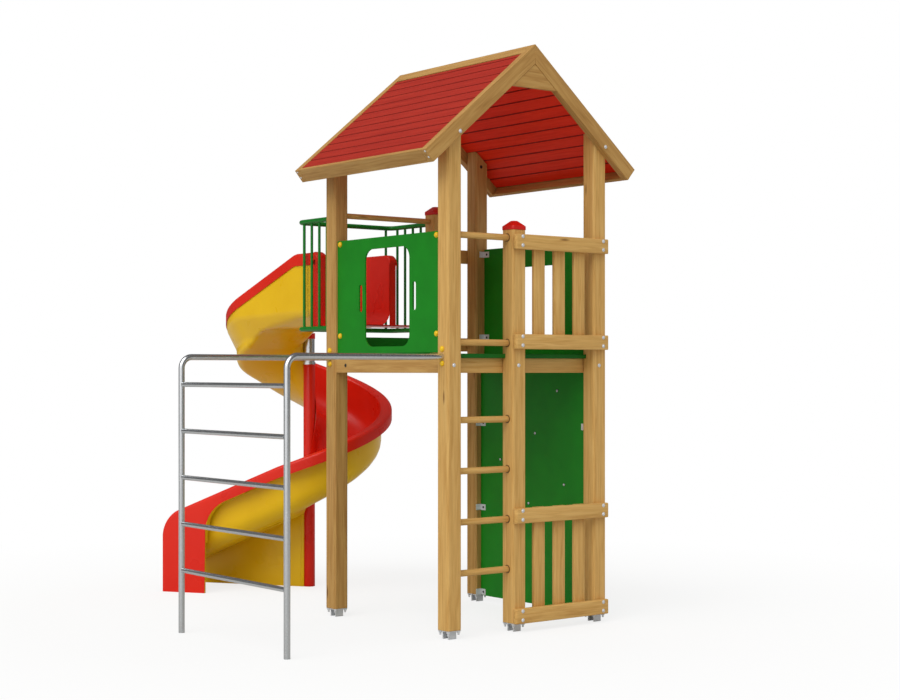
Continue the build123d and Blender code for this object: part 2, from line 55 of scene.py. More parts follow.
def addNode(tree, kind, inputs=None, **settings):
    node = tree.nodes.new(kind)
    for key, value in settings.items():
        setattr(node, key, value)
    for key, value in (inputs or {}).items():
        if isinstance(value, bpy.types.NodeSocket):
            tree.links.new(value, node.inputs[key])
        else:
            node.inputs[key].default_value = value
    return node


def newFinish(name, roughness, **shaderValues):
    material = bpy.data.materials.new(name)
    material.use_nodes = True
    tree = material.node_tree
    shader = tree.nodes["Principled BSDF"]
    shader.inputs["Roughness"].default_value = roughness
    for key, value in shaderValues.items():
        shader.inputs[key.replace("_", " ")].default_value = value
    place = addNode(tree, "ShaderNodeTexCoord").outputs["Object"]
    return material, tree, shader, place


def colourRamp(tree, factor, stops):
    ramp = addNode(tree, "ShaderNodeValToRGB", {"Fac": factor})
    elements = ramp.color_ramp.elements
    while len(elements) < len(stops):
        elements.new(0.5)
    for element, (position, hexColour) in zip(elements, stops):
        element.position = position
        element.color = linear(hexColour)
    return ramp.outputs["Color"]


def noise(tree, place, scale, detail, **more):
    values = {"Vector": place, "Scale": scale, "Detail": detail, **more}
    return addNode(tree, "ShaderNodeTexNoise", values).outputs["Fac"]


def mapped(tree, value, low, high, fromLow=0.3, fromHigh=0.7, **settings):
    values = {"Value": value, "From Min": fromLow, "From Max": fromHigh, "To Min": low, "To Max": high}
    return addNode(tree, "ShaderNodeMapRange", values, **settings).outputs[0]


def toned(tree, colour, tone):
    return addNode(tree, "ShaderNodeVectorMath", {0: colour, 1: tone}, operation="MULTIPLY").outputs[0]


def setBump(tree, shader, height, strength, distance):
    bump = addNode(tree, "ShaderNodeBump", {"Height": height, "Strength": strength, "Distance": distance})
    tree.links.new(bump.outputs[0], shader.inputs["Normal"])


# Pine, planed and oiled: long flame-shaped grain, fine fibres that catch light, a few small dark knots
timber = {
    "grain": (0.34, 0.016),  # length and width
    "fibre": (0.09, 0.0022),
    "fibreDepth": 0.0004,
    "knotSpacing": (0.55, 0.11),
    "knotSize": 0.045,
    "roughness": 0.5,
}
roofPlace = {"ridgeX": 0.5175, "apex": 3.173, "angle": math.radians(40)}
slopeCos, slopeSin = math.cos(roofPlace["angle"]), math.sin(roofPlace["angle"])


def alongAxis(tree, place, axis):
    # Turns the piece's own coordinates so that the grain runs along local x
    parts = addNode(tree, "ShaderNodeSeparateXYZ", {0: place}).outputs
    if axis == "slope":
        across = addNode(tree, "ShaderNodeMath", {0: parts["X"], 1: roofPlace["ridgeX"]}, operation="SUBTRACT")
        away = addNode(tree, "ShaderNodeMath", {0: across.outputs[0]}, operation="ABSOLUTE")
        flat = addNode(tree, "ShaderNodeCombineXYZ", {"X": away.outputs[0], "Y": parts["Y"], "Z": parts["Z"]})
        turned = addNode(tree, "ShaderNodeVectorRotate", {"Vector": flat.outputs[0], "Angle": -roofPlace["angle"]},
                         rotation_type="Y_AXIS")
        return turned.outputs[0]
    order = {"X": ("X", "Y", "Z"), "Y": ("Y", "X", "Z"), "Z": ("Z", "X", "Y")}[axis]
    joined = addNode(tree, "ShaderNodeCombineXYZ", {"X": parts[order[0]], "Y": parts[order[1]], "Z": parts[order[2]]})
    return joined.outputs[0]


def stretched(tree, place, length, width):
    return addNode(tree, "ShaderNodeMapping", {"Vector": place, "Scale": (1 / length, 1 / width, 1 / width)}).outputs[0]


def woodFinish(name, axis, stops, knotColour=None, roughness=timber["roughness"]):
    # Wood without a knot colour has no knots
    material, tree, shader, place = newFinish(name, roughness, Specular_IOR_Level=0.22)
    grainPlace = alongAxis(tree, place, axis)
    flame = noise(tree, stretched(tree, grainPlace, *timber["grain"]), 1.0, 4.0, Roughness=0.6, Distortion=0.7)
    fibre = noise(tree, stretched(tree, grainPlace, *timber["fibre"]), 1.0, 2.0)
    colour = toned(tree, colourRamp(tree, flame, stops), mapped(tree, fibre, 0.93, 1.035))
    if knotColour:
        knot = addNode(tree, "ShaderNodeTexVoronoi", {
            "Vector": stretched(tree, grainPlace, *timber["knotSpacing"]), "Scale": 1.0, "Randomness": 1.0})
        size = timber["knotSize"]
        mask = mapped(tree, knot.outputs["Distance"], 0.85, 0.0, size * 0.6, size * 1.9)
        colour = addNode(tree, "ShaderNodeMix", {"Factor": mask, 6: colour, 7: linear(knotColour)},
                         data_type="RGBA").outputs[2]
    tree.links.new(colour, shader.inputs["Base Color"])
    tree.links.new(mapped(tree, flame, roughness + 0.07, roughness - 0.05), shader.inputs["Roughness"])
    setBump(tree, shader, fibre, 0.35, timber["fibreDepth"])
    return material


timberStops = [(0.28, "#C4924C"), (0.45, "#D3A45C"), (0.58, "#DCAF66"), (0.74, "#E2B872")]
oiledTimber = {axis: woodFinish("oiledPine" + axis, axis, timberStops, "#7A4F22") for axis in ("X", "Z")}
# Back posts, beams and roof frame: the same pine in a browner, deeper tone, painted shade
paintedShadeStops = [(0.28, "#A87A3E"), (0.45, "#B98B4C"), (0.58, "#C39755"), (0.74, "#CBA160")]
paintedShadeTimber = {axis: woodFinish("heartPine" + axis.capitalize(), axis, paintedShadeStops, "#6B421B")
               for axis in ("X", "Y", "Z", "slope")}


# Red opaque stain on planed softwood boards: the grain barely shows, the sheen is low
def stainFinish(name, colours, roughness):
    return woodFinish(name, "Y", list(zip((0.25, 0.5, 0.75), colours)), roughness=roughness)


redStain = stainFinish("redStainedBoards", ("#9C1D10", "#AF2615", "#B9301D"), 0.55)
# Joint finishes darker than the broad faces: partly stain gathered in the V joints, partly painted shade in the grooves
redStainJointAndShade = stainFinish("redStainedJoints", ("#7E160C", "#8C1C10", "#962213"), 0.6)
redStainLowerJointAndShade = stainFinish("redStainedLowerJoints", ("#8B190E", "#9A2012", "#A42716"), 0.6)
# Undersides and narrow sides of the boards: the same stain painted far brighter, painted light under the roof
redStainPaintedLight = stainFinish("redStainedUndersides", ("#F02A0C", "#FA300F", "#FF3611"), 0.55)


# Dyed polyethylene board and powder coat: satin green with a fine pebbled skin
def boardFinish(name, hexColour, roughness):
    material, tree, shader, place = newFinish(name, roughness, Specular_IOR_Level=0.25)
    tone = mapped(tree, noise(tree, place, 9.0, 2.0), 0.93, 1.06)
    tree.links.new(toned(tree, linear(hexColour)[:3], tone), shader.inputs["Base Color"])
    setBump(tree, shader, noise(tree, place, 1 / 0.0035, 1.0), 0.2, 0.0002)
    return material


greenBoard = boardFinish("greenPolyethylene", "#118416", 0.42)
greenDeckBoard = boardFinish("greenDeckBoard", "#0E6A18", 0.45)
greenPowderCoat = boardFinish("greenPowderCoat", "#157A24", 0.32)


# Gelcoat over glass fibre: deep glossy colour, faint waves of the mould and hand-rolled unevenness
def gelcoatFinish(name, hexColour, deepColour):
    material, tree, shader, place = newFinish(name, 0.3, Specular_IOR_Level=0.3)
    colour = colourRamp(tree, noise(tree, place, 3.0, 3.0), [(0.3, deepColour), (0.7, hexColour)])
    tree.links.new(colour, shader.inputs["Base Color"])
    tree.links.new(mapped(tree, noise(tree, place, 6.0, 2.0), 0.26, 0.34), shader.inputs["Roughness"])
    setBump(tree, shader, noise(tree, place, 4.0, 0.0), 0.15, 0.004)
    return material


redGelcoat = gelcoatFinish("redGelcoat", "#E5260F", "#DC200C")
yellowGelcoat = gelcoatFinish("yellowGelcoat", "#F4C50E", "#ECBA0B")


# Injection-moulded caps: even, shiny plastic
def capFinish(name, hexColour):
    material, tree, shader, place = newFinish(name, 0.32, Specular_IOR_Level=0.4)
    tone = mapped(tree, noise(tree, place, 60.0, 1.0), 0.94, 1.05, 0.0, 1.0)
    tree.links.new(toned(tree, linear(hexColour)[:3], tone), shader.inputs["Base Color"])
    return material


redCap = capFinish("redMouldedCap", "#D8190F")
yellowCap = capFinish("yellowMouldedCap", "#F2C30F")
holdResin = capFinish("orangeHoldResin", "#D9731A")


# Steel tube and zinc-coated plate: light grey, its gloss a little uneven in fine specks
def steelFinish(name, hexColour, roughness, speck, metallic):
    material, tree, shader, place = newFinish(name, roughness, Metallic=metallic)
    specks = noise(tree, place, 1 / speck, 2.0)
    tree.links.new(mapped(tree, specks, roughness - 0.02, roughness + 0.03), shader.inputs["Roughness"])
    tone = mapped(tree, noise(tree, place, 14.0, 2.0), 0.92, 1.05, 0.0, 1.0)
    tree.links.new(toned(tree, linear(hexColour)[:3], tone), shader.inputs["Base Color"])
    return material


steelTube = steelFinish("groundSteelTube", "#D2D4D6", 0.25, 0.004, 0.95)
zincPlate = steelFinish("zincPlate", "#E2E4E6", 0.42, 0.006, 0.4)
# Near-black finish: painted shade inside the sunk holes and round the hold studs, also used for the clamp bolts' heads
darkRecess = capFinish("darkRecess", "#1A1511")
shadedSocket = capFinish("shadedSocketEdge", "#6A4925")
print("finishes made:", len(bpy.data.materials))


# Helpers for meshes
broadFace = 0.0002  # planed faces above this many square metres stay dead flat


def addObject(name, mesh):
    piece = bpy.data.objects.new(name, mesh)
    scene.collection.objects.link(piece)
    return piece


def meshOf(work, name, finish=None):
    # Ends a bmesh as a mesh
    mesh = bpy.data.meshes.new(name)
    work.to_mesh(mesh)
    work.free()
    if finish:
        mesh.materials.append(finish)
    return mesh


def stackedRings(rings):
    # Closed solid through rings of points that have the same number of corners
    work = bmesh.new()
    rows = [[work.verts.new(point) for point in ring] for ring in rings]
    for one, two in zip(rows, rows[1:]):
        for i in range(len(one)):
            j = (i + 1) % len(one)
            work.faces.new((one[i], one[j], two[j], two[i]))
    work.faces.new(rows[0])
    work.faces.new(rows[-1][::-1])
    bmesh.ops.recalc_face_normals(work, faces=work.faces)
    return work


def easedEdges(work, edges, width, segments):
    bmesh.ops.bevel(work, geom=edges, offset=width, segments=segments, profile=0.5, affect="EDGES")


def flatWhereBroad(mesh, limit=broadFace):
    for face in mesh.polygons:
        face.use_smooth = face.area < limit


def settled(piece):
    # Turns the evaluated piece into a plain mesh and drops its modifiers
    bpy.context.view_layer.update()
    result = bpy.data.meshes.new_from_object(piece.evaluated_get(bpy.context.evaluated_depsgraph_get()))
    piece.modifiers.clear()
    piece.data = result
    return piece


def shadedMesh(mesh, degrees=35):
    mesh.shade_smooth()
    mesh.set_sharp_from_angle(angle=math.radians(degrees))
    return mesh


def smoothed(piece, degrees=35):
    shadedMesh(piece.data, degrees)
    return piece


def handIn(piece, slot, *nodes):
    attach(piece, "root")
    if nodes:
        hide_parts(*nodes)
    return piece


def camel(nodeName):
    first, *rest = nodeName.split("_")
    return first + "".join(word.capitalize() for word in rest)


def softened(nodeName, finish, slot, edge, planed=False):
    # The node's own shape with its edges eased by a small round
    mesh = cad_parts[nodeName].data.copy()
    work = bmesh.new()
    work.from_mesh(mesh)
    bmesh.ops.remove_doubles(work, verts=work.verts, dist=1e-5)
    bmesh.ops.dissolve_limit(work, angle_limit=math.radians(0.6), verts=work.verts, edges=work.edges)
    work.to_mesh(mesh)
    work.free()
    mesh.materials.clear()
    mesh.materials.append(finish)
    piece = addObject(camel(nodeName), mesh)
    mesh.shade_smooth()
    if edge:
        bevel = piece.modifiers.new("easedEdges", "BEVEL")
        bevel.width = edge
        bevel.segments = 2
        bevel.limit_method = "ANGLE"
        bevel.angle_limit = math.radians(32)
        bevel.harden_normals = not planed
        settled(piece)
        for face in piece.data.polygons:
            if planed and face.area > broadFace:
                face.use_smooth = False
    else:
        smoothed(piece)
    return handIn(piece, slot, nodeName)


# Pieces that keep the frame's shape, with eased edges
timberEdge = 0.0025
timberNodes = {
    "Z": ["post_front_left", "post_front_right", "post_front_middle", "post_back_left", "post_back_right",
          "post_back_middle"],
    "X": ["beam_front", "beam_back", "ladder_rungs", "slide_bar"],
    "Y": ["beam_left", "beam_right"],
    "slope": ["rafters_front", "rafters_back"],
}
paintedShadeNodes = ("post_back_left", "post_back_right", "beam_left", "beam_right", "beam_back",
              "rafters_front", "rafters_back")
for axis, names in timberNodes.items():
    for name in names:
        # Pieces in the list get the darker tone of painted shade
        tone = paintedShadeTimber if name in paintedShadeNodes else oiledTimber
        softened(name, tone[axis], "oiled_timber", timberEdge, name not in ("ladder_rungs", "slide_bar"))
for name in ("window_panel_left", "window_panel_right", "climbing_wall", "threshold_board"):
    softened(name, greenBoard, "green_board", 0.0025, True)
softened("deck", greenDeckBoard, "green_board", 0.0025, True)
rightPanel = {"windowDrop": 0.062, "gripShift": 0.012, "deckGap": 0.0047}
for vertex in bpy.data.objects["windowPanelRight"].data.vertices:
    if 0.33 < vertex.co.y < 0.72 and 1.95 < vertex.co.z < 2.10:
        vertex.co.z -= rightPanel["windowDrop"]  # its window's top edge is lower than the left one's
    elif 0.12 < vertex.co.y < 0.30 and 1.6 < vertex.co.z < 2.05:
        vertex.co.y += rightPanel["gripShift"]
    elif vertex.co.z < 1.512:
        vertex.co.z -= rightPanel["deckGap"]
for name in ("cage_rail_top", "cage_rail_low", "cage_bars_left", "cage_bars_right"):
    softened(name, greenPowderCoat, "green_coated_steel", 0.0)
for name in ("frame_tube_front", "frame_tube_back", "frame_rungs", "slide_column"):
    softened(name, steelTube, "galvanised_steel", 0.0)
softened("climbing_holds", holdResin, "hold_resin", 0.0)
softened("slide_landing", redGelcoat, "red_fibreglass", 0.002)
softened("slide_sleeve", redGelcoat, "red_fibreglass", 0.001)
softened("slide_skirt", yellowGelcoat, "yellow_fibreglass", 0.001)
print("eased pieces made")


# Geometry node trees: a row of one piece, and one piece set on points that face their own way
def newTree(name, sockets):
    tree = bpy.data.node_groups.new(name, "GeometryNodeTree")
    tree.interface.new_socket("Geometry", in_out="INPUT", socket_type="NodeSocketGeometry")
    found = {}
    for label, kind in sockets.items():
        found[label] = tree.interface.new_socket(label, in_out="INPUT", socket_type=kind).identifier
    tree.interface.new_socket("Geometry", in_out="OUTPUT", socket_type="NodeSocketGeometry")
    start = addNode(tree, "NodeGroupInput")
    return tree, found, start


def endTree(tree, start, instances):
    real = addNode(tree, "GeometryNodeRealizeInstances", {"Geometry": instances})
    coated = addNode(tree, "GeometryNodeSetMaterial", {
        "Geometry": real.outputs[0], "Material": start.outputs["Finish"]})
    addNode(tree, "NodeGroupOutput", {"Geometry": coated.outputs[0]})


rowTree, rowInputs, rowStart = newTree("rowOfPieces", {
    "Piece": "NodeSocketObject", "Count": "NodeSocketInt", "First": "NodeSocketVector",
    "Step": "NodeSocketVector", "Turn": "NodeSocketRotation", "Finish": "NodeSocketMaterial"})
rowLine = addNode(rowTree, "GeometryNodeMeshLine", {
    "Count": rowStart.outputs["Count"], "Start Location": rowStart.outputs["First"],
    "Offset": rowStart.outputs["Step"]})
rowPiece = addNode(rowTree, "GeometryNodeObjectInfo", {"Object": rowStart.outputs["Piece"]})
rowSet = addNode(rowTree, "GeometryNodeInstanceOnPoints", {
    "Points": rowLine.outputs[0], "Instance": rowPiece.outputs["Geometry"], "Rotation": rowStart.outputs["Turn"]})
endTree(rowTree, rowStart, rowSet.outputs[0])

spotTree, spotInputs, spotStart = newTree("piecesOnSpots", {
    "Piece": "NodeSocketObject", "Size": "NodeSocketFloat", "Finish": "NodeSocketMaterial"})
spotAim = addNode(spotTree, "GeometryNodeInputNamedAttribute", {"Name": "aim"}, data_type="FLOAT_VECTOR")
spotTurn = addNode(spotTree, "FunctionNodeAlignRotationToVector", {"Vector": spotAim.outputs[0]}, axis="Z")
spotPiece = addNode(spotTree, "GeometryNodeObjectInfo", {"Object": spotStart.outputs["Piece"]})
spotSet = addNode(spotTree, "GeometryNodeInstanceOnPoints", {
    "Points": spotStart.outputs["Geometry"], "Instance": spotPiece.outputs["Geometry"],
    "Rotation": spotTurn.outputs[0], "Scale": spotStart.outputs["Size"]})
endTree(spotTree, spotStart, spotSet.outputs[0])


def runTree(name, mesh, tree, inputs, values):
    piece = addObject(name, mesh)
    modifier = piece.modifiers.new("nodes", "NODES")
    modifier.node_group = tree
    for label, value in values.items():
        modifier[inputs[label]] = value
    settled(piece)
    return piece


def rowOf(name, mesh, finish, count, step, **more):
    values = {"Piece": bpy.data.objects.new("template", mesh), "Count": count, "Step": step, "Finish": finish, **more}
    return runTree(name, bpy.data.meshes.new(name), rowTree, rowInputs, values)


def turnedMesh(name, outline, segments):
    # Revolves an outline of (radius, height) points round Z
    work = bmesh.new()
    rings = []
    for radius, height in outline:
        if radius < 1e-7:
            rings.append([work.verts.new((0, 0, height))])
            continue
        steps = [2 * math.pi * i / segments for i in range(segments)]
        rings.append([work.verts.new((radius * math.cos(a), radius * math.sin(a), height)) for a in steps])
    for low, high in zip(rings, rings[1:]):
        for i in range(segments):
            j = (i + 1) % segments
            if len(low) == 1:
                work.faces.new((low[0], high[j], high[i]))
            elif len(high) == 1:
                work.faces.new((low[i], low[j], high[0]))
            else:
                work.faces.new((low[i], low[j], high[j], high[i]))
    bmesh.ops.recalc_face_normals(work, faces=work.faces)
    return shadedMesh(meshOf(work, name), 40)


def domeOutline(radius, height, washer, washerHeight, steps=4):
    # A dome on a washer whose foot is sunk a little into the wood
    sunk = -0.0015
    outline = [(0, sunk), (washer, sunk), (washer, washerHeight), (radius, washerHeight)]
    for i in range(1, steps):
        angle = math.pi / 2 * i / steps
        outline.append((radius * math.cos(angle), washerHeight + height * math.sin(angle)))
    return outline + [(0, washerHeight + height)]


# Small turned parts, as outlines of (radius, height): bolt head, cover cap, sunk hole and socket edge
templates = {
    "dome": turnedMesh("domeHead", domeOutline(0.009, 0.0055, 0.0125, 0.002), 20),
    "cap": turnedMesh("capHead", domeOutline(0.0145, 0.008, 0.0155, 0.004), 24),
    "hole": turnedMesh("holeRing", [(0, 0.0004), (0.0075, 0.0004), (0.0095, 0.0012), (0.0105, 0.0002), (0.0105, -0.001),
                                    (0, -0.001)], 20),
    "ferrule": turnedMesh("socketRing", [(0.0175, -0.0005), (0.0225, -0.0005), (0.0225, 0.0012), (0.0205, 0.0022),
                                         (0.0175, 0.0022), (0.0175, -0.0005)], 28),
}
templateObjects = {key: bpy.data.objects.new("template" + key.capitalize(), mesh)
                   for key, mesh in templates.items()}


def setOnSpots(name, key, spots, finish, slot, size=1.0):
    mesh = bpy.data.meshes.new(name)
    mesh.from_pydata([place for place, aim in spots], [], [])
    aims = mesh.attributes.new("aim", "FLOAT_VECTOR", "POINT")
    aims.data.foreach_set("vector", [value for place, aim in spots for value in aim])
    piece = runTree(name, mesh, spotTree, spotInputs, {"Piece": templateObjects[key], "Size": size, "Finish": finish})
    return handIn(piece, slot)


# Roof frame: thin eave boards, broad ridge boards and a plate behind each gable top
roof = {
    "eaveThickness": 0.020,
    "ridgeWidth": 0.075,
    "depth": 0.082,
    "ridgeThickness": 0.0257,
    "ridgeGap": 0.0003,
    "gussetInset": 0.003,
    "gussetThickness": 0.020,
    "gussetGap": 0.0005,
    "edge": 0.0025,
}
slopeLength = (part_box("rafters_front")[1].x - roofPlace["ridgeX"]) / slopeCos
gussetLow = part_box("gusset_front")[0].z


def onSlope(side, along, below):
    # Place on a slope: metres down from the ridge and metres square to the roof's face
    return (roofPlace["ridgeX"] + side * (along * slopeCos - below * slopeSin),
            roofPlace["apex"] - along * slopeSin - below * slopeCos)


def profileRun(name, outline, ends, finish, edge=roof["edge"]):
    # Solid of one outline in X and Z run along Y, with eased edges
    work = stackedRings([[(x, y, z) for x, z in outline] for y in ends])
    easedEdges(work, work.edges[:], edge, 2)
    mesh = meshOf(work, name, finish)
    mesh.shade_smooth()
    flatWhereBroad(mesh)
    return addObject(name, mesh)


for sideName, side in (("left", -1), ("right", 1)):
    low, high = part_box("eave_board_" + sideName)
    top = slopeLength - roof["eaveThickness"]
    eave = [onSlope(side, top, 0), onSlope(side, slopeLength, 0), onSlope(side, slopeLength, roof["depth"]),
            onSlope(side, top, roof["depth"])]
    handIn(profileRun("eaveBoard" + sideName.capitalize(), eave, (low.y, high.y), paintedShadeTimber["Y"]),
           "oiled_timber", "eave_board_" + sideName)
    low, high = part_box("ridge_board_" + sideName)
    middle = roofPlace["ridgeX"] + side * roof["ridgeGap"]
    ridge = [(middle, roofPlace["apex"]), onSlope(side, roof["ridgeWidth"], 0),
             onSlope(side, roof["ridgeWidth"], roof["ridgeThickness"]),
             (middle, roofPlace["apex"] - roof["ridgeThickness"] / slopeCos)]
    handIn(profileRun("ridgeBoard" + sideName.capitalize(), ridge, (low.y, high.y), paintedShadeTimber["Y"]),
           "oiled_timber", "ridge_board_" + sideName)

for endName, sign in (("front", 1), ("back", -1)):
    low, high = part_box("rafters_" + endName)
    outer = low.y if sign > 0 else high.y
    peak = roofPlace["apex"] - (roof["depth"] + roof["gussetGap"]) / slopeCos
    reachX = (peak - gussetLow) / math.tan(roofPlace["angle"])
    middle = roofPlace["ridgeX"]
    plate = [(middle, peak), (middle + reachX, gussetLow), (middle - reachX, gussetLow)]
    inner = outer + sign * roof["gussetInset"]
    ends = sorted((inner, inner + sign * roof["gussetThickness"]))
    handIn(profileRun("gusset" + endName.capitalize(), plate, ends, paintedShadeTimber["X"], 0.0015), "oiled_timber",
           "gusset_" + endName)

# Roof boarding: tongue-and-groove boards along Y on both slopes, the topmost cut narrower
boarding = {
    "thickness": 0.022,
    "recess": 0.004,
    "groove": 0.004,
    "topGroove": 0.005,
    "cover": 0.0768,
    "gap": 0.0016,
    "tongue": (-0.4, -0.6),  # its upper and lower face as shares of the thickness
    "play": 0.0005,  # under the ridge board
    "endPlay": 0.0004,  # above the eave board
}
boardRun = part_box("roof_boards_left")
boardSpan = slopeLength - roof["eaveThickness"] - roof["ridgeWidth"] - boarding["play"] - boarding["endPlay"]
boardCount = int(boardSpan / boarding["cover"])


def boardMesh(name, wide):
    # A chamfer down both long edges of the upper and lower face makes the V joints
    thick, cut, top = boarding["thickness"], boarding["groove"], boarding["topGroove"]
    wide -= boarding["gap"]
    tongue = wide + boarding["gap"] - 0.0001
    high, low = (share * thick for share in boarding["tongue"])
    outline = [(0, -top), (top, 0), (wide - top, 0), (wide, -top), (wide, high), (tongue, high), (tongue, low),
               (wide, low), (wide, cut - thick), (wide - cut, -thick), (cut, -thick), (0, cut - thick)]
    return meshOf(stackedRings([[(x, y, z) for x, z in outline] for y in (boardRun[0].y, boardRun[1].y)]), name)


boards = {
    "full": boardMesh("roofBoard", boarding["cover"]),
    "cut": boardMesh("cutBoard", boardSpan - boardCount * boarding["cover"]),
}
for sideName, side in (("left", -1), ("right", 1)):
    turn = Euler((0, roofPlace["angle"], 0)) if side > 0 else Euler((0, roofPlace["angle"], math.pi))
    down = Vector((side * slopeCos, 0, -slopeSin))
    slopeNormal = Vector((side * slopeSin, 0, slopeCos))
    x, z = onSlope(side, roof["ridgeWidth"] + boarding["play"], boarding["recess"])
    top = Vector((x, 0 if side > 0 else boardRun[0].y + boardRun[1].y, z))
    first = top + down * (boardSpan - boardCount * boarding["cover"])
    for kind, count, place in (("full", boardCount, first), ("cut", 1, top)):
        name = "roofBoards" + sideName.capitalize() + kind.capitalize()
        laid = rowOf(name, boards[kind], redStain, count, down * boarding["cover"], First=place, Turn=turn)
        laid.data.materials.clear()
        for finish in (redStain, redStainPaintedLight, redStainJointAndShade, redStainLowerJointAndShade):
            laid.data.materials.append(finish)
        for face in laid.data.polygons:
            # Broad top faces keep the plain stain; broad lower faces and narrow sides take the brightened finish,
            # painted light; V joints take the darker joint finishes, partly painted shade
            facing = face.normal.dot(slopeNormal)
            if abs(facing) > 0.9:
                face.material_index = 0 if facing > 0 else 1  # broad faces
            elif abs(facing) > 0.3:
                face.material_index = 2 if facing > 0 else 3  # V joints
            else:
                face.material_index = 1
        handIn(laid, "red_boarding", "roof_boards_" + sideName)
print("roof boarding laid:", boardCount + 1, "boards a slope")


# Fences: rails with rounded front edges and upright slats behind them
fences = {
    "railHeight": 0.081,
    "railThickness": 0.035,
    "slatWidth": 0.078,
    "slatStart": 0.547,
    "slatStep": 0.147,
    "slatThickness": 0.020,
    "leftReach": 0.014,
    "frontRound": 0.005,
    "endRound": 0.014,
    "slatEdge": 0.003,
    "overlap": 0.038,
    "post": 0.095,
}


def blockMesh(name, low, high, edge, segments=3, endRound=0.0):
    work = bmesh.new()
    middle = (Vector(low) + Vector(high)) / 2
    size = Vector(high) - Vector(low)
    bmesh.ops.create_cube(work, size=1.0, matrix=Matrix.Translation(middle) @ Matrix.Diagonal((*size, 1.0)))
    if endRound:
        easedEdges(work, [e for e in work.edges if abs(e.verts[0].co.z - e.verts[1].co.z) > 1e-4], endRound, 6)
    easedEdges(work, [e for e in work.edges if e.calc_face_angle(0) > 0.9], edge, segments)
    return shadedMesh(meshOf(work, name))


def makeFence(nodeName, slats, outward):
    low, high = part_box(nodeName)
    face = high.y - fences["railThickness"] if outward > 0 else low.y + fences["railThickness"]
    rails = sorted((face, face + outward * fences["railThickness"]))
    slatSide = sorted((face, face - outward * fences["slatThickness"]))
    if outward < 0:
        railStart, start = low.x - fences["leftReach"], fences["slatStart"]
    else:
        railStart, start = low.x, (low.x + high.x - fences["slatWidth"]) / 2
    rail = blockMesh("rail", (railStart, rails[0], low.z), (high.x, rails[1], low.z + fences["railHeight"]),
                     fences["frontRound"], endRound=fences["endRound"])
    slat = blockMesh("slat", (start, slatSide[0], low.z), (start + fences["slatWidth"], slatSide[1], high.z),
                     fences["slatEdge"], 2)
    upStep = Vector((0, 0, high.z - low.z - fences["railHeight"]))
    sideStep = Vector((fences["slatStep"], 0, 0))
    for part, mesh, axis, count, step in (("Rails", rail, "X", 2, upStep), ("Slats", slat, "Z", slats, sideStep)):
        handIn(rowOf(camel(nodeName) + part, mesh, oiledTimber[axis], count, step), "oiled_timber", nodeName)


makeFence("fence_front_upper", 3, -1)
makeFence("fence_front_lower", 3, -1)
makeFence("fence_back", 1, 1)
print("fences made")


# Slide: open sheets built from rings across the chute, then given their wall thickness
slide = {
    "axis": Vector((0.610, 2.270)),
    "skin": 0.0035,
    "wall": 0.008,
    "inner": 0.038,
    "outer": 0.470,
    "rimOuter": 0.540,
    "rimDrop": 0.074,
    "rimRound": 0.020,
    "rimInnerRound": 0.022,
    "floorOuter": 0.150,
    "floorInner": 0.095,
    "depth": 0.325,
    "innerDrop": 0.030,
    "innerBare": 0.120,
    "entryAngle": 180.0,
    "exitAngle": -146.0,
    "exitRim": 0.806,
    "spiralDrop": 1.073,
    "turnStep": 4.0,
    "bulgeFrom": 138.0,
    "bulgeTo": 104.0,
    "flushTo": 122.0,
    "flushDrop": 0.067,
    "arcSteps": 6,
}
entry = {
    "frontY": 1.360,
    "top": 2.115,
    "flatY": 1.655,
    "rimOuter": 0.515,
    "inner": 0.002,
    "lip": 0.047,
    "lipEnd": 0.016,
    "lipFall": 0.040,
    "corner": 0.050,
    "flangeDepth": 0.060,
    "floor": 1.6773,
    "levelTo": 2.08,
    "flushLow": 1.760,
}
run = {
    "length": 0.783,
    "rimEnd": 0.478,
    "depthEnd": 0.340,
    "innerDropEnd": 0.045,
    "legStart": 0.490,
    "flareRound": 0.230,
    "corner": 0.100,
}


def roundedLine(points, radii, steps):
    # Points of a line whose inner corners are arcs; every line with as many corners has as many points
    line = [Vector(points[0])]
    for i, radius in enumerate(radii, 1):
        before, here, after = (Vector(points[j]) for j in (i - 1, i, i + 1))
        one, two = (before - here).normalized(), (after - here).normalized()
        half = one.angle(two) / 2
        reach = min(radius / math.tan(half), (before - here).length * 0.499, (after - here).length * 0.499)
        start, stop = here + one * reach, here + two * reach
        centre = here + (one + two).normalized() * (reach / math.cos(half)) if half < math.pi / 2 - 1e-4 else None
        for k in range(steps + 1):
            share = k / steps
            if centre is None:
                line.append(start.lerp(stop, share))
                continue
            ray, rayEnd = start - centre, stop - centre
            sweep = ray.angle(rayEnd)
            spun = (ray * math.sin((1 - share) * sweep) + rayEnd * math.sin(share * sweep)) / math.sin(sweep)
            line.append(centre + spun)
    line.append(Vector(points[-1]))
    return line


def station(angle, along, **values):
    turn = math.radians(angle)
    out = Vector((math.cos(turn), math.sin(turn)))
    ahead = Vector((math.sin(turn), -math.cos(turn)))
    base = {"at": slide["axis"] + ahead * along, "out": out, "depth": slide["depth"], "drop": slide["rimDrop"],
            "innerDrop": slide["innerDrop"], "rimOuter": slide["rimOuter"], "bulge": 0.0}
    base.update(values)
    return base


def clamped(share):
    return min(max(share, 0.0), 1.0)


def mix(one, two, share):
    return one + (two - one) * share


def easeStep(share):
    share = clamped(share)
    return share * share * (3 - 2 * share)


def spiralRim(angle):
    spread = slide["entryAngle"] - slide["exitAngle"]
    return slide["exitRim"] + slide["spiralDrop"] * (angle - slide["exitAngle"]) / spread


def quarterDrop(past, radius):
    past = min(max(past, 0.0), radius)
    return radius - math.sqrt(radius * radius - past * past)


runFall = (slide["exitRim"] - run["rimEnd"]) / run["length"]


def flareReach():
    turning = math.pi / 2 - math.atan(runFall)
    return run["flareRound"] * math.tan(turning / 2)


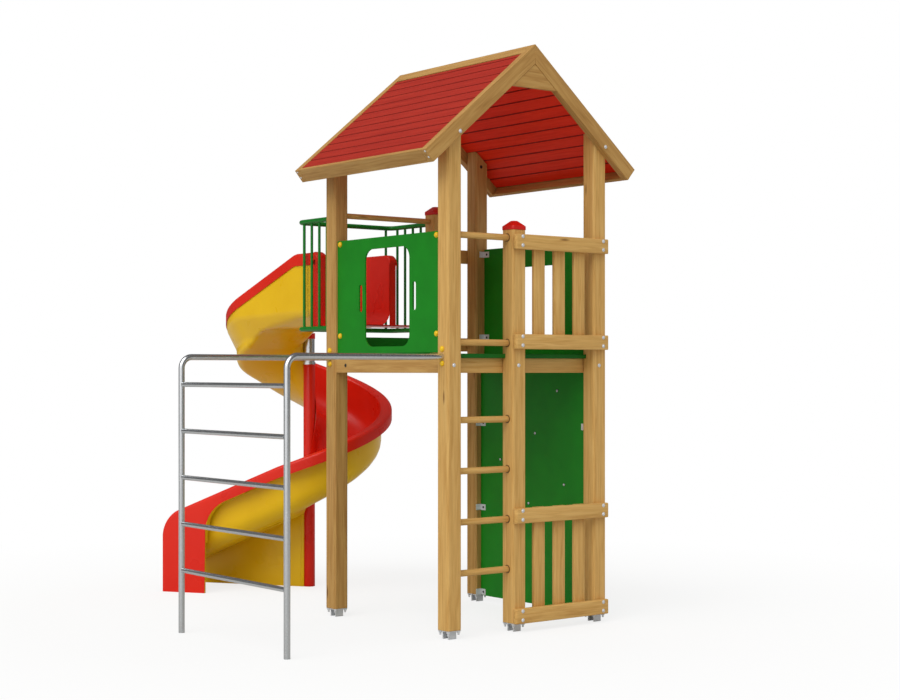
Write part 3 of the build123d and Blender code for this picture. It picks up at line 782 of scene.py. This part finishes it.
def flareDrop(along, rim):
    # How far the flange reaches down: it widens on an arc into the leg
    bandLow = slide["exitRim"] - runFall * along - slide["rimDrop"]
    slope = math.atan(runFall)
    begin = run["legStart"] - flareReach() * math.cos(slope)
    if along <= begin:
        return rim - bandLow
    if along > run["legStart"]:
        return rim
    beginLow = slide["exitRim"] - runFall * begin - slide["rimDrop"]
    centre = (begin - run["flareRound"] * math.sin(slope), beginLow - run["flareRound"] * math.cos(slope))
    height = centre[1] + math.sqrt(max(run["flareRound"] ** 2 - (along - centre[0]) ** 2, 0.0))
    return rim - height


def chuteStations():
    found = []
    steps = round((slide["entryAngle"] - slide["exitAngle"]) / slide["turnStep"])
    for i in range(steps):
        angle = slide["entryAngle"] - i * (slide["entryAngle"] - slide["exitAngle"]) / steps
        bulge = easeStep((angle - slide["bulgeTo"]) / (slide["bulgeFrom"] - slide["bulgeTo"]))
        flush = clamped((angle - slide["flushTo"]) / (slide["entryAngle"] - slide["flushTo"]))
        flat = slide["rimDrop"] + slide["flushDrop"] * flush
        found.append(station(angle, 0, rim=spiralRim(angle), bulge=bulge, flat=flat))
    straight = [0.0, 0.08, 0.16, 0.22]
    straight += [0.26 + 0.0225 * i for i in range(11)] + [run["legStart"] + 0.0002]
    straight += [0.53, 0.58, 0.63, run["length"] - run["corner"]]
    cornerStart = run["length"] - run["corner"]
    straight += [cornerStart + run["corner"] * math.sin(math.radians(a)) for a in (12, 24, 36, 48, 60, 72, 82, 90)]
    for along in straight:
        share = along / run["length"]
        plain = slide["exitRim"] - runFall * along
        rim = plain - quarterDrop(along - run["length"] + run["corner"], run["corner"] * 0.995)
        lost = plain - rim
        found.append(station(
            slide["exitAngle"], along, rim=rim, drop=flareDrop(along, rim),
            depth=mix(slide["depth"], run["depthEnd"], share) - lost,
            innerDrop=mix(slide["innerDrop"], run["innerDropEnd"], share)))
    return found


def innerRing(place):
    wall = slide["wall"]
    points = [(place["rimOuter"], -place["drop"]), (place["rimOuter"], 0), (slide["outer"] - wall, 0),
              (slide["outer"] - wall, -place["depth"]), (slide["inner"] + wall, -place["depth"]),
              (slide["inner"] + wall, -place["innerDrop"])]
    return points, [slide["rimRound"], slide["rimInnerRound"], slide["floorOuter"], slide["floorInner"]]


def outerRing(place):
    # The yellow shell: flush under the lip where the bulge is full, then in to the plain wall
    bulge = max(place["bulge"], 0.02)
    flush = mix(slide["outer"], place["rimOuter"] - 0.006, bulge)
    flat = place.get("flat", slide["rimDrop"] + 0.052 * bulge)
    low = place["depth"] + slide["wall"]
    hold = place.get("hold", 0.0)  # 1 where the wall stays under the lip down to the floor
    inward = (flat + 0.004 + 0.125 * bulge) * (1 - hold) + (0.35 * low + 0.65 * flat) * hold
    middle = slide["outer"] + (flush - slide["outer"]) * 0.6 * hold
    inner = place.get("inner", slide["inner"])
    points = [(flush, -0.014), (flush, -flat), (middle, -inward), (middle - 0.13 * hold, -low), (inner, -low),
              (inner, -place["innerDrop"] - slide["innerBare"])]
    radii = [0.002 + 0.09 * bulge, 0.002 + 0.09 * bulge, slide["floorOuter"] + slide["wall"],
             slide["floorInner"] + slide["wall"]]
    return points, radii


def sheetOf(name, rows, finish, **walls):
    # Open sheet through rows of points, then given its wall thickness
    work = bmesh.new()
    rings = [[work.verts.new(point) for point in row] for row in rows]
    for one, two in zip(rings, rings[1:]):
        for corners in zip(one, one[1:], two[1:], two):
            work.faces.new(corners)
    piece = addObject(name, meshOf(work, name, finish))
    wall = piece.modifiers.new("wallThickness", "SOLIDIFY")
    for key, value in walls.items():
        setattr(wall, key, value)
    return smoothed(settled(piece), 40)


def sheetFrom(name, places, ringOf, thickness, finish):
    rows = []
    for place in places:
        line = roundedLine(*ringOf(place), slide["arcSteps"])
        flats = [place["at"] + place["out"] * across for across, height in line]
        rows.append([(flat.x, flat.y, max(place["rim"] + height, 0.0)) for flat, (across, height) in zip(flats, line)])
    return sheetOf(name, rows, finish, thickness=thickness, offset=-1.0, use_even_offset=True, thickness_clamp=1.0)


chutePlaces = chuteStations()
chuteNodes = ("slide_chute_upper", "slide_chute_middle", "slide_chute_lower", "slide_exit")
chuteInside = sheetFrom("slideChuteInside", chutePlaces, innerRing, slide["skin"], redGelcoat)
handIn(chuteInside, "red_fibreglass", *chuteNodes)
shellPlaces = [p for p in chutePlaces if p["rim"] > 0]
chuteShell = sheetFrom("slideChuteShell", shellPlaces, outerRing, -slide["skin"], yellowGelcoat)
handIn(chuteShell, "yellow_fibreglass", *chuteNodes)


# Entrance of the slide, from the tower back to the first turn
def entryStations():
    slopeRun = slide["axis"].y - entry["flatY"]
    endRim = spiralRim(slide["entryAngle"])
    corner = (90, 80, 68, 56, 44, 32, 20, 8, 0)
    backs = [entry["frontY"] + entry["corner"] * (1 - math.sin(math.radians(a))) for a in corner]
    backs += [1.43, 1.45, 1.47, 1.50, 1.55, 1.60, 1.64, 1.67]
    backs += [1.70 + (slide["axis"].y - 1.70) * i / 12 for i in range(13)]
    found = []
    for y in backs:
        rise = clamped((slide["axis"].y - y) / slopeRun)
        plain = mix(endRim, entry["top"], rise)
        rim = plain - quarterDrop(entry["frontY"] + entry["corner"] - y, entry["corner"] * 0.995)
        floorEnd = endRim - slide["depth"]
        level = clamped((slide["axis"].y - y) / (slide["axis"].y - entry["levelTo"]))
        floor = mix(floorEnd, entry["floor"], level)
        wide = easeStep((1.44 - y) / 0.03)
        outer = mix(slide["rimOuter"], entry["rimOuter"], rise)
        outer += (slide["rimOuter"] - entry["rimOuter"]) * wide
        flatEnd = slide["rimDrop"] + slide["flushDrop"]
        flat = mix(flatEnd, entry["top"] - entry["flushLow"], rise)
        found.append(station(
            slide["entryAngle"], -(slide["axis"].y - y), rim=rim, depth=rim - floor, bulge=1.0, rimOuter=outer,
            innerDrop=slide["innerDrop"] * (1 - rise), inner=mix(slide["inner"], entry["inner"], rise),
            lip=mix(entry["lipEnd"], entry["lip"], rise), flat=flat - (plain - rim), hold=rise, y=y))
    return found


def entryRing(place):
    wall = slide["wall"]
    inside = place["inner"] + wall
    edge = place["inner"] - place["lip"]
    points = [(place["rimOuter"], -place["drop"]), (place["rimOuter"], 0), (slide["outer"] - wall, 0),
              (slide["outer"] - wall, -place["depth"]), (inside, -place["depth"]), (inside, -place["innerDrop"]),
              (edge, -place["innerDrop"]), (edge, -place["innerDrop"] - entry["lipFall"])]
    return points, [slide["rimRound"], slide["rimInnerRound"], slide["floorOuter"], slide["floorInner"], 0.010, 0.010]


entryPlaces = entryStations()
entryInside = sheetFrom("slideEntryInside", entryPlaces, entryRing, slide["skin"], redGelcoat)
handIn(entryInside, "red_fibreglass", "slide_entry")
entryShell = sheetFrom("slideEntryShell", [p for p in entryPlaces if p["y"] > entry["frontY"] + entry["flangeDepth"]],
                       outerRing, -slide["skin"], yellowGelcoat)
handIn(entryShell, "yellow_fibreglass", "slide_entry")


# Front flanges of the entrance, at its left and right edge
flangeTop = entry["top"] - entry["corner"]
flangeLow = entry["floor"] - slide["wall"]
axisX = slide["axis"].x
flangeBack = entry["frontY"] + entry["flangeDepth"]
flanges = {
    "slideFlangeLeft": (axisX - slide["outer"] + slide["wall"], axisX - slide["rimOuter"], slide["skin"]),
    "slideFlangeRight": (axisX - entry["inner"] - slide["wall"], axisX - entry["inner"] + entry["lip"], -slide["skin"]),
}
for name, (innerX, outerX, thickness) in flanges.items():
    line = roundedLine([(innerX, entry["frontY"]), (outerX, entry["frontY"]), (outerX, flangeBack)], [0.02], 6)
    rows = [[(x, y, z) for x, y in line] for z in (flangeLow, flangeTop)]
    handIn(sheetOf(name, rows, redGelcoat, thickness=thickness, offset=1.0), "red_fibreglass", "slide_entry")

# Exit: narrow return along the flange's lower edge and down the leg
legReturn = {
    "from": 0.22,
    "wide": 0.050,
    "narrow": 0.018,
    "tabLow": 0.055,  # the wide part ends this far below the curve
    "sheet": 0.003,
    "steps": 12,
}


def returnRing(place):
    inner = place["rimOuter"] - place.get("wide", legReturn["wide"])
    return [(place["rimOuter"] - 0.001, -place["drop"]), (inner, -place["drop"])], []


returnPlaces = []
for i in range(legReturn["steps"] + 1):
    along = legReturn["from"] + (run["legStart"] - legReturn["from"]) * i / legReturn["steps"]
    rim = slide["exitRim"] - runFall * along
    returnPlaces.append(station(slide["exitAngle"], along, rim=rim, drop=flareDrop(along, rim)))
tabDrop = returnPlaces[-1]["drop"] + legReturn["tabLow"]
for drop, wide in ((tabDrop, "wide"), (tabDrop + 0.001, "narrow"), (rim, "narrow")):
    returnPlaces.append(station(slide["exitAngle"], run["legStart"], rim=rim, drop=drop, wide=legReturn[wide]))
returnStrip = sheetFrom("slideLegReturn", returnPlaces, returnRing, -legReturn["sheet"], yellowGelcoat)
handIn(returnStrip, "yellow_fibreglass")

# Skirt: strip between its front edge and the sleeve
exitTurn = math.radians(slide["exitAngle"])
sin, cos = math.sin(exitTurn), math.cos(exitTurn)
skirtWay = Matrix(((sin, cos, 0, slide["axis"].x), (-cos, sin, 0, slide["axis"].y), (0, 0, 1, 0), (0, 0, 0, 1)))
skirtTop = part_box("slide_skirt")[1].z - 0.004
strip = blockMesh("skirtStrip", (0.0222, 0.0305, 0.0), (0.0454, 0.0375, skirtTop), 0.0008, 2)
strip.transform(skirtWay)
strip.materials.append(yellowGelcoat)
handIn(addObject("skirtStrip", strip), "yellow_fibreglass")

# Column: red collar under the chute, pale ring where the sleeve ends
def radiusOf(nodeName):
    low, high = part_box(nodeName)
    return (high.x - low.x) / 2


def ringOnColumn(name, finish, slot, radius, wall, low, high):
    inside, outside = radius + 0.0002, radius + wall
    soft = min(0.002, (outside - inside) / 3)
    ring = turnedMesh(name, [(inside, low), (outside - soft, low), (outside, low + soft), (outside, high - soft),
                             (outside - soft, high), (inside, high), (inside, low)], 64)
    ring.transform(Matrix.Translation((slide["axis"].x, slide["axis"].y, 0)))
    ring.materials.append(finish)
    return handIn(addObject(name, ring), slot)


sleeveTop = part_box("slide_sleeve")[1].z
ringOnColumn("slideCollar", redGelcoat, "red_fibreglass", radiusOf("slide_column"), 0.0035, 1.615, 1.652)
ringOnColumn("sleeveRing", steelTube, "galvanised_steel", radiusOf("slide_sleeve"), 0.003, sleeveTop - 0.010,
             sleeveTop + 0.007)
print("slide made")


# Bolts, caps and sockets
half = fences["post"] / 2
postX = {"left": 0.0, "middle": 0.444, "right": 1.035}
spanY = 1.050
front, back = Vector((0, -1, 0)), Vector((0, 1, 0))
leftward, rightward = Vector((-1, 0, 0)), Vector((1, 0, 0))
upward = Vector((0, 0, 1))
bolts = {
    "shift": 0.007,  # to the left of the posts' middle
    "railRise": 0.004,
    "railSpread": 0.024,
    "beamZ": 1.438,
    "rafterZ": 2.659,
    "size": 0.85,
    "eaveSize": 0.5,
    "eaveBelow": (0.0135, 0.0505),
    "eaveInset": 0.029,
    "sunkY": 0.908,
}


def spots(aim, places):
    return [(Vector(place), aim) for place in places]


domeSpots = []
for nodeName, outward, aim in (("fence_front_upper", -1, front), ("fence_front_lower", -1, front),
                               ("fence_back", 1, back)):
    low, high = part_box(nodeName)
    railY = low.y if outward < 0 else high.y
    for railZ in (low.z + fences["railHeight"] / 2, high.z - fences["railHeight"] / 2):
        for x in (low.x + fences["overlap"], high.x - fences["overlap"]):
            middle = railZ + bolts["railRise"]
            domeSpots += spots(aim, ((x - bolts["shift"], railY, middle + side * bolts["railSpread"])
                                     for side in (-1, 1)))
domeSpots += spots(front, ((x - bolts["shift"], -half, bolts["beamZ"]) for x in postX.values()))
domeSpots += spots(back, ((x, spanY + half, bolts["beamZ"]) for x in (postX["left"], postX["right"])))
for x in (postX["left"], postX["right"]):
    domeSpots += spots(front, [(x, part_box("rafters_front")[0].y, bolts["rafterZ"])])
    domeSpots += spots(back, [(x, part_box("rafters_back")[1].y, bolts["rafterZ"])])
setOnSpots("domeBolts", "dome", domeSpots, zincPlate, "galvanised_steel", bolts["size"])

# Two small bolts in each end of the eave boards
eaveSpots = []
for side in (-1, 1):
    aim = Vector((side * slopeCos, 0, -slopeSin))
    for below in bolts["eaveBelow"]:
        x, z = onSlope(side, slopeLength - 0.0002, below)
        eaveSpots += spots(aim, ((x, y, z) for y in (-half - bolts["eaveInset"], spanY + half + bolts["eaveInset"])))
setOnSpots("eaveBolts", "dome", eaveSpots, zincPlate, "galvanised_steel", bolts["eaveSize"])

# Sunk holes in the side beams and near the tops of the back posts: flat discs whose near-black finish paints the shade
# inside the holes
holeSpots = spots(leftward, [(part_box("beam_left")[0].x, bolts["sunkY"], bolts["beamZ"])])
holeSpots += spots(rightward, [(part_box("beam_right")[1].x, bolts["sunkY"], bolts["beamZ"])])
holeSpots += spots(front, ((x, spanY - half, 2.650) for x in (0.006, 1.0285)))
setOnSpots("sunkBoltHoles", "hole", holeSpots, darkRecess, "galvanised_steel")

# Yellow caps at the window panels' corners and on the left posts, where the climbing frame is held
caps = {"inset": 0.027, "panelZ": (1.605, 2.126), "postZ": 1.485, "postSpread": 0.038}
capSpots = []
for nodeName, aim in (("window_panel_left", leftward), ("window_panel_right", rightward)):
    low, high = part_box(nodeName)
    faceX = low.x if aim.x < 0 else high.x
    sides = (low.y + caps["inset"], high.y - caps["inset"])
    capSpots += spots(aim, ((faceX, y, z) for y in sides for z in caps["panelZ"]))
capSpots += spots(leftward, ((-half, y, caps["postZ"] + side * caps["postSpread"])
                             for y in (0.0, spanY) for side in (-1, 1)))
setOnSpots("coverCaps", "cap", capSpots, yellowCap, "yellow_cap_plastic")

# Countersunk edges where the rungs enter the posts
rungZ = [0.338 + 0.270 * i for i in range(4)] + [1.559, 2.128]
ringSpots = spots(leftward, ((postX["middle"] - half, 0, z) for z in rungZ))
ringSpots += spots(rightward, ((postX["left"] + half, 0, z) for z in rungZ))
setOnSpots("rungRings", "ferrule", ringSpots, shadedSocket, "oiled_timber")

# Bent clamps that hold the wall and the right window panel to the right posts
clamp = {
    "leg": 0.038,
    "depth": 0.048,
    "sheet": 0.003,
    "tall": 0.036,
    "heights": (0.063, 0.578, 1.090, 1.610, 2.115),
    "boltPlace": 0.028,
}


def clampMesh(name, side):
    leg, depth, sheet, tall = clamp["leg"], clamp["depth"], clamp["sheet"], clamp["tall"] / 2
    outline = [(0, 0), (-leg, 0), (-leg, -side * sheet), (-sheet, -side * sheet), (-sheet, -side * depth),
               (0, -side * depth)]
    return meshOf(stackedRings([[(x, y, z) for x, y in outline] for z in (-tall, tall)]), name)


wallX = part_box("climbing_wall")[0].x
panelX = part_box("window_panel_right")[0].x
for endName, side, y in (("Back", 1, spanY - half), ("Front", -1, half)):
    key = "clamp" + endName
    templateObjects[key] = bpy.data.objects.new("template" + key.capitalize(), clampMesh(key, side))
    places = [Vector((wallX if z < 1.4 else panelX, y - side * 0.0002, z)) for z in clamp["heights"]]
    setOnSpots("wallClamps" + endName, key, [(place, upward) for place in places], zincPlate, "galvanised_steel")
    boltSpots = [(place + Vector((-clamp["sheet"], -side * clamp["boltPlace"], 0)), leftward) for place in places]
    # Bolt heads in the near-black finish of the painted hole shade
    setOnSpots("clampBolts" + endName, "dome", boltSpots, darkRecess, "galvanised_steel", 0.55)

# Ends of the holds' bolts on the inner side of the wall, each on a near-black disc that paints the shade of its hole
holdPlaces = ((0.304, 1.292), (0.498, 1.042), (0.816, 0.875), (0.245, 0.753), (0.556, 0.628))  # y and z
studSpots = spots(leftward, ((wallX, y, z) for y, z in holdPlaces))
setOnSpots("holdStudRings", "hole", studSpots, darkRecess, "galvanised_steel", 0.95)
headSpots = [(place + 0.0011 * leftward, aim) for place, aim in studSpots]
setOnSpots("holdStuds", "dome", headSpots, zincPlate, "galvanised_steel", 0.55)
print("small parts set:", len(domeSpots), "bolts,", len(capSpots), "caps")


# Caps on the short posts: a straight band and a low pyramid with a blunt top
postCap = {
    "play": 0.0005,
    "band": 0.020,
    "topReach": 0.014,
    "edge": 0.0022,
    "cut": 0.8,  # share of each side left between the chamfered corners
    "broadFace": 0.0003,
}
for nodeName in ("post_cap_front", "post_cap_back"):
    low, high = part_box(nodeName)
    reach = (high.x - low.x) / 2 - postCap["play"]
    cut = postCap["cut"]
    corners = ((-cut, -1), (cut, -1), (1, -cut), (1, cut), (cut, 1), (-cut, 1), (-1, cut), (-1, -cut))
    levels = ((reach, low.z), (reach, low.z + postCap["band"]), (postCap["topReach"], high.z))
    work = stackedRings([[(x * wide, y * wide, z) for x, y in corners] for wide, z in levels])
    easedEdges(work, work.edges[:], postCap["edge"], 3)
    mesh = meshOf(work, camel(nodeName), redCap)
    mesh.shade_smooth()
    flatWhereBroad(mesh, postCap["broadFace"])
    mesh.transform(Matrix.Translation(((low.x + high.x) / 2, (low.y + high.y) / 2, 0)))
    handIn(addObject(camel(nodeName), mesh), "red_cap_plastic", nodeName)

# Ground anchors: plate under the post, welded channel down to the ground and four bolt ends
anchor = {
    "plate": 0.0435,
    "plateThickness": 0.005,
    "channel": 0.052,
    "sheet": 0.006,
    "boltRadius": 0.0055,
    "boltReach": 0.020,
    "boltPlace": 0.034,
    "nutRadius": 0.0095,
    "nut": 0.008,
}
footNodes = ("foot_front_left", "foot_front_middle", "foot_front_right", "foot_back_left", "foot_back_right")
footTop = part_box("foot_front_left")[1].z


def anchorMesh():
    parts = []
    plate, under = anchor["plate"], footTop - anchor["plateThickness"]
    parts.append(blockMesh("plate", (-plate, -plate, under), (plate, plate, footTop), 0.0008, 2))
    wide, sheet = anchor["channel"] / 2, anchor["sheet"]
    for low, high in (((-wide, -wide), (wide, -wide + sheet)), ((-wide, wide - sheet), (wide, wide)),
                      ((wide / 2, -wide + sheet), (wide / 2 + sheet, wide - sheet))):
        parts.append(blockMesh("channel", (*low, 0), (*high, under), 0.0005, 1))
    work = bmesh.new()
    for part in parts:
        work.from_mesh(part)
    reach = anchor["boltReach"]
    for x in (-anchor["boltPlace"], anchor["boltPlace"]):
        for y in (-anchor["boltPlace"], anchor["boltPlace"]):
            for sides, radius, depth, middle in ((12, anchor["boltRadius"], reach, under - reach / 2),
                                                 (6, anchor["nutRadius"], anchor["nut"], under - anchor["nut"] / 2)):
                bmesh.ops.create_cone(work, cap_ends=True, segments=sides, radius1=radius, radius2=radius, depth=depth,
                                      matrix=Matrix.Translation((x, y, middle)))
    return shadedMesh(meshOf(work, "anchor"))


templateObjects["anchor"] = bpy.data.objects.new("templateAnchor", anchorMesh())
footSpots = []
for nodeName in footNodes:
    low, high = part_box(nodeName)
    footSpots += spots(upward, [((low.x + high.x) / 2, (low.y + high.y) / 2, 0)])
anchors = setOnSpots("groundAnchors", "anchor", footSpots, zincPlate, "galvanised_steel")
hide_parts(*footNodes)
print("caps and anchors made")


# Camera, floor and light
camera = bpy.data.objects.new("photoCamera", bpy.data.cameras.new("photoCamera"))
scene.collection.objects.link(camera)
camera.location = (-5.465, -7.000, 1.418)
camera.rotation_euler = (math.radians(90), 0, math.radians(-38))
camera.data.lens = 67.6
camera.data.sensor_width = 36.0
camera.data.shift_y = 0.0211
scene.camera = camera

studio = {
    "floorSize": 60.0,
    "floorColour": "#C9C9C7",
    "paperToCamera": "#F4F4F2",
    "nearShare": 0.78,
    "ambient": 0.62,
    "keyFrom": (-0.74, -0.30, 0.85),
    "keyStrength": 1.6,
    "keyAngle": 55.0,
    "softboxFrom": (-0.88, -0.36, 0.42),
    "softboxLow": 0.11,
    "softboxHigh": 1.3,
    "softboxEdge": (0.42, 0.9),  # cosines between which it fades in
    "paperMiddle": (0.3, 1.2, 0.0),
    "paperFade": (2.0, 4.5),
}


def raysSeen(tree, *kinds):
    rays = addNode(tree, "ShaderNodeLightPath").outputs
    seen = rays[kinds[0]]
    for kind in kinds[1:]:
        seen = addNode(tree, "ShaderNodeMath", {0: seen, 1: rays[kind]}, operation="MAXIMUM").outputs[0]
    return seen


floorMesh = bpy.data.meshes.new("studioFloor")
reach = studio["floorSize"] / 2
corners = [(-reach, -reach, 0), (reach, -reach, 0), (reach, reach, 0), (-reach, reach, 0)]
floorMesh.from_pydata(corners, [], [(0, 1, 2, 3)])
floor = addObject("studioFloor", floorMesh)
floorMaterial = bpy.data.materials.new("paperFloor")
floorMaterial.use_nodes = True
tree = floorMaterial.node_tree
tree.nodes.remove(tree.nodes["Principled BSDF"])
floorPlace = addNode(tree, "ShaderNodeTexCoord").outputs["Object"]
distance = addNode(tree, "ShaderNodeVectorMath", {0: floorPlace, 1: studio["paperMiddle"]}, operation="DISTANCE")
far = mapped(tree, distance.outputs["Value"], studio["nearShare"], 1.0, *studio["paperFade"])
seen = raysSeen(tree, "Is Camera Ray", "Is Transmission Ray")
share = addNode(tree, "ShaderNodeMath", {0: seen, 1: far}, operation="MULTIPLY")
paperColour = addNode(tree, "ShaderNodeMix", {
    "Factor": seen, 6: linear(studio["floorColour"]), 7: linear(studio["paperToCamera"])}, data_type="RGBA")
paper = addNode(tree, "ShaderNodeBsdfDiffuse", {"Color": paperColour.outputs[2]})
glow = addNode(tree, "ShaderNodeEmission", {"Color": (1, 1, 1, 1), "Strength": 1.0})
mixed = addNode(tree, "ShaderNodeMixShader", {0: share.outputs[0], 1: paper.outputs[0], 2: glow.outputs[0]})
tree.links.new(mixed.outputs[0], tree.nodes["Material Output"].inputs["Surface"])
floorMesh.materials.append(floorMaterial)

# World: white to the camera, softbox above the left side in reflections, even light otherwise
world = bpy.data.worlds.new("studioWorld")
scene.world = world
world.use_nodes = True
tree = world.node_tree
direction = addNode(tree, "ShaderNodeTexCoord").outputs["Generated"]
keyWay = Vector(studio["keyFrom"]).normalized()
softboxWay = Vector(studio["softboxFrom"]).normalized()
toSoftbox = addNode(tree, "ShaderNodeVectorMath", {0: direction, 1: softboxWay}, operation="DOT_PRODUCT")
softbox = mapped(tree, toSoftbox.outputs["Value"], studio["softboxLow"], studio["softboxHigh"],
                 *studio["softboxEdge"], interpolation_type="SMOOTHSTEP")
reflected = addNode(tree, "ShaderNodeMix", {
    "Factor": raysSeen(tree, "Is Glossy Ray"), 2: studio["ambient"], 3: softbox})
strength = addNode(tree, "ShaderNodeMix", {
    "Factor": raysSeen(tree, "Is Camera Ray", "Is Transmission Ray"), 2: reflected.outputs[0], 3: 1.0})
tree.nodes["Background"].inputs["Color"].default_value = (1, 1, 1, 1)
tree.links.new(strength.outputs[0], tree.nodes["Background"].inputs["Strength"])

key = bpy.data.objects.new("softKey", bpy.data.lights.new("softKey", "SUN"))
key.data.energy = studio["keyStrength"]
key.data.angle = math.radians(studio["keyAngle"])
key.rotation_euler = keyWay.to_track_quat("Z", "Y").to_euler()
scene.collection.objects.link(key)
scene.view_settings.view_transform = "Standard"
